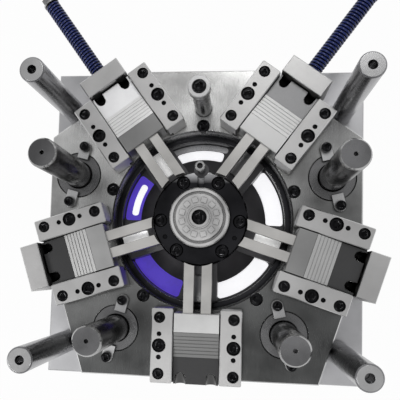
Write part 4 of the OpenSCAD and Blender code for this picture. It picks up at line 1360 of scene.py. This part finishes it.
@dataclass
class SpringPack(SubAssembly):
    """Pull rod, spring and nut behind one of the upper slides.

    Attributes:
        number: Number of the slide, from 1.
        turns: Number of turns.
        wire_width: Width of the flat wire, away from the spring's axis.
        wire_height: Height of the wire, along the axis.
        wire_edge: Rounding of the wire's corners.
        turn_steps: Number of faces round a turn.
        travel: Travel of the slide, which would shorten the spring; not used.
        nut_edge: Rounding of the nut's edges.
    """

    number: int
    turns: int = 27
    wire_width: float = 4.4 * MM
    wire_height: float = 3.0 * MM
    wire_edge: float = 0.9 * MM
    turn_steps: int = 24
    travel: float = 23.5 * MM
    nut_edge: float = 0.3 * MM

    def build(self) -> None:
        """Dresses the spring pack."""
        dress_node(f"pull_rod_{self.number}", PIN_STEEL)
        softened(f"spring_nut_{self.number}", CLIP_STEEL, f"slide_{self.number}", self.nut_edge)
        self._spring()

    def _spring(self) -> None:
        """Winds the spring from flat wire and sets it on the pull rod."""
        node = f"spring_{self.number}"
        angle = slide_angle(self.number)
        direction = Vector(outward(angle))
        along = along_slide(node, angle)
        low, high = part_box(node)
        start, length = min(along), max(along) - min(along)
        coil = self._coil((high.z - low.z) / 2, length)
        anchor = direction * start + Vector((0, 0, (low.z + high.z) / 2))
        turn = Matrix.Rotation(math.radians(angle), 4, "Z") @ Matrix.Rotation(QUARTER_TURN, 4, "Y")
        coil.data.transform(Matrix.Translation(anchor) @ turn)
        coil.name = f"{node}_wound"
        mounted(coil, SPRING_BLUE, STRIPPER, node)
        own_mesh(coil)

    def _coil(self, outer: float, length: float) -> Piece:
        """Winds the coil along +Z from the origin.

        Args:
            outer: Outer radius.
            length: Length over its ends.

        Returns:
            The coil.
        """
        bpy.ops.mesh.primitive_plane_add(size=1.0, location=(0, 0, 0), rotation=(QUARTER_TURN, 0, 0))
        coil = new_mesh_piece("coil")
        bpy.ops.object.transform_apply(location=True, rotation=True, scale=True)
        with editing():
            section = (self.wire_width, 1.0, self.wire_height)
            bpy.ops.transform.resize(value=section, center_override=(0, 0, 0))
            bpy.ops.mesh.bevel(offset=self.wire_edge, segments=ROUND_STEPS, affect="VERTICES")
            bpy.ops.mesh.delete(type="ONLY_FACE")
            bpy.ops.mesh.select_all(action="SELECT")
            bpy.ops.transform.translate(value=(outer - self.wire_width / 2, 0, self.wire_height / 2))
        wind = coil.modifiers.new("wind", "SCREW")
        wind.axis = "Z"
        wind.angle = FULL_TURN
        wind.iterations = self.turns
        wind.screw_offset = (length - self.wire_height) / self.turns
        wind.steps = wind.render_steps = self.turn_steps
        wind.use_normal_calculate = True
        apply_modifiers(coil)
        with editing(Choice.NONE):
            bpy.ops.mesh.select_mode(type="EDGE")
            bpy.ops.mesh.select_non_manifold()
            bpy.ops.mesh.fill()
            bpy.ops.mesh.select_all(action="SELECT")
            bpy.ops.mesh.normals_make_consistent(inside=False)
            bpy.ops.mesh.select_mode(type="VERT")
        bpy.ops.object.shade_smooth_by_angle(angle=WIDE_SMOOTH_ANGLE)
        return coil


def main() -> None:
    """Builds the studio and dresses every group."""
    logging.basicConfig(level=logging.INFO, format="%(name)s: %(message)s")
    bpy.context.scene.view_settings.view_transform = "Standard"
    Studio(parting_z=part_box("gibs")[1].z).build()
    groups: list[SubAssembly] = [MouldBase(), Core(), StripperGroup()]
    groups += [SlideUnit(number) for number in range(1, SLIDE_COUNT + 1)]
    groups += [SpringPack(number) for number in (1, 2)]
    for group in groups:
        group.build()
        LOG.info("%s is dressed", group)


if __name__ == "__main__":
    main()
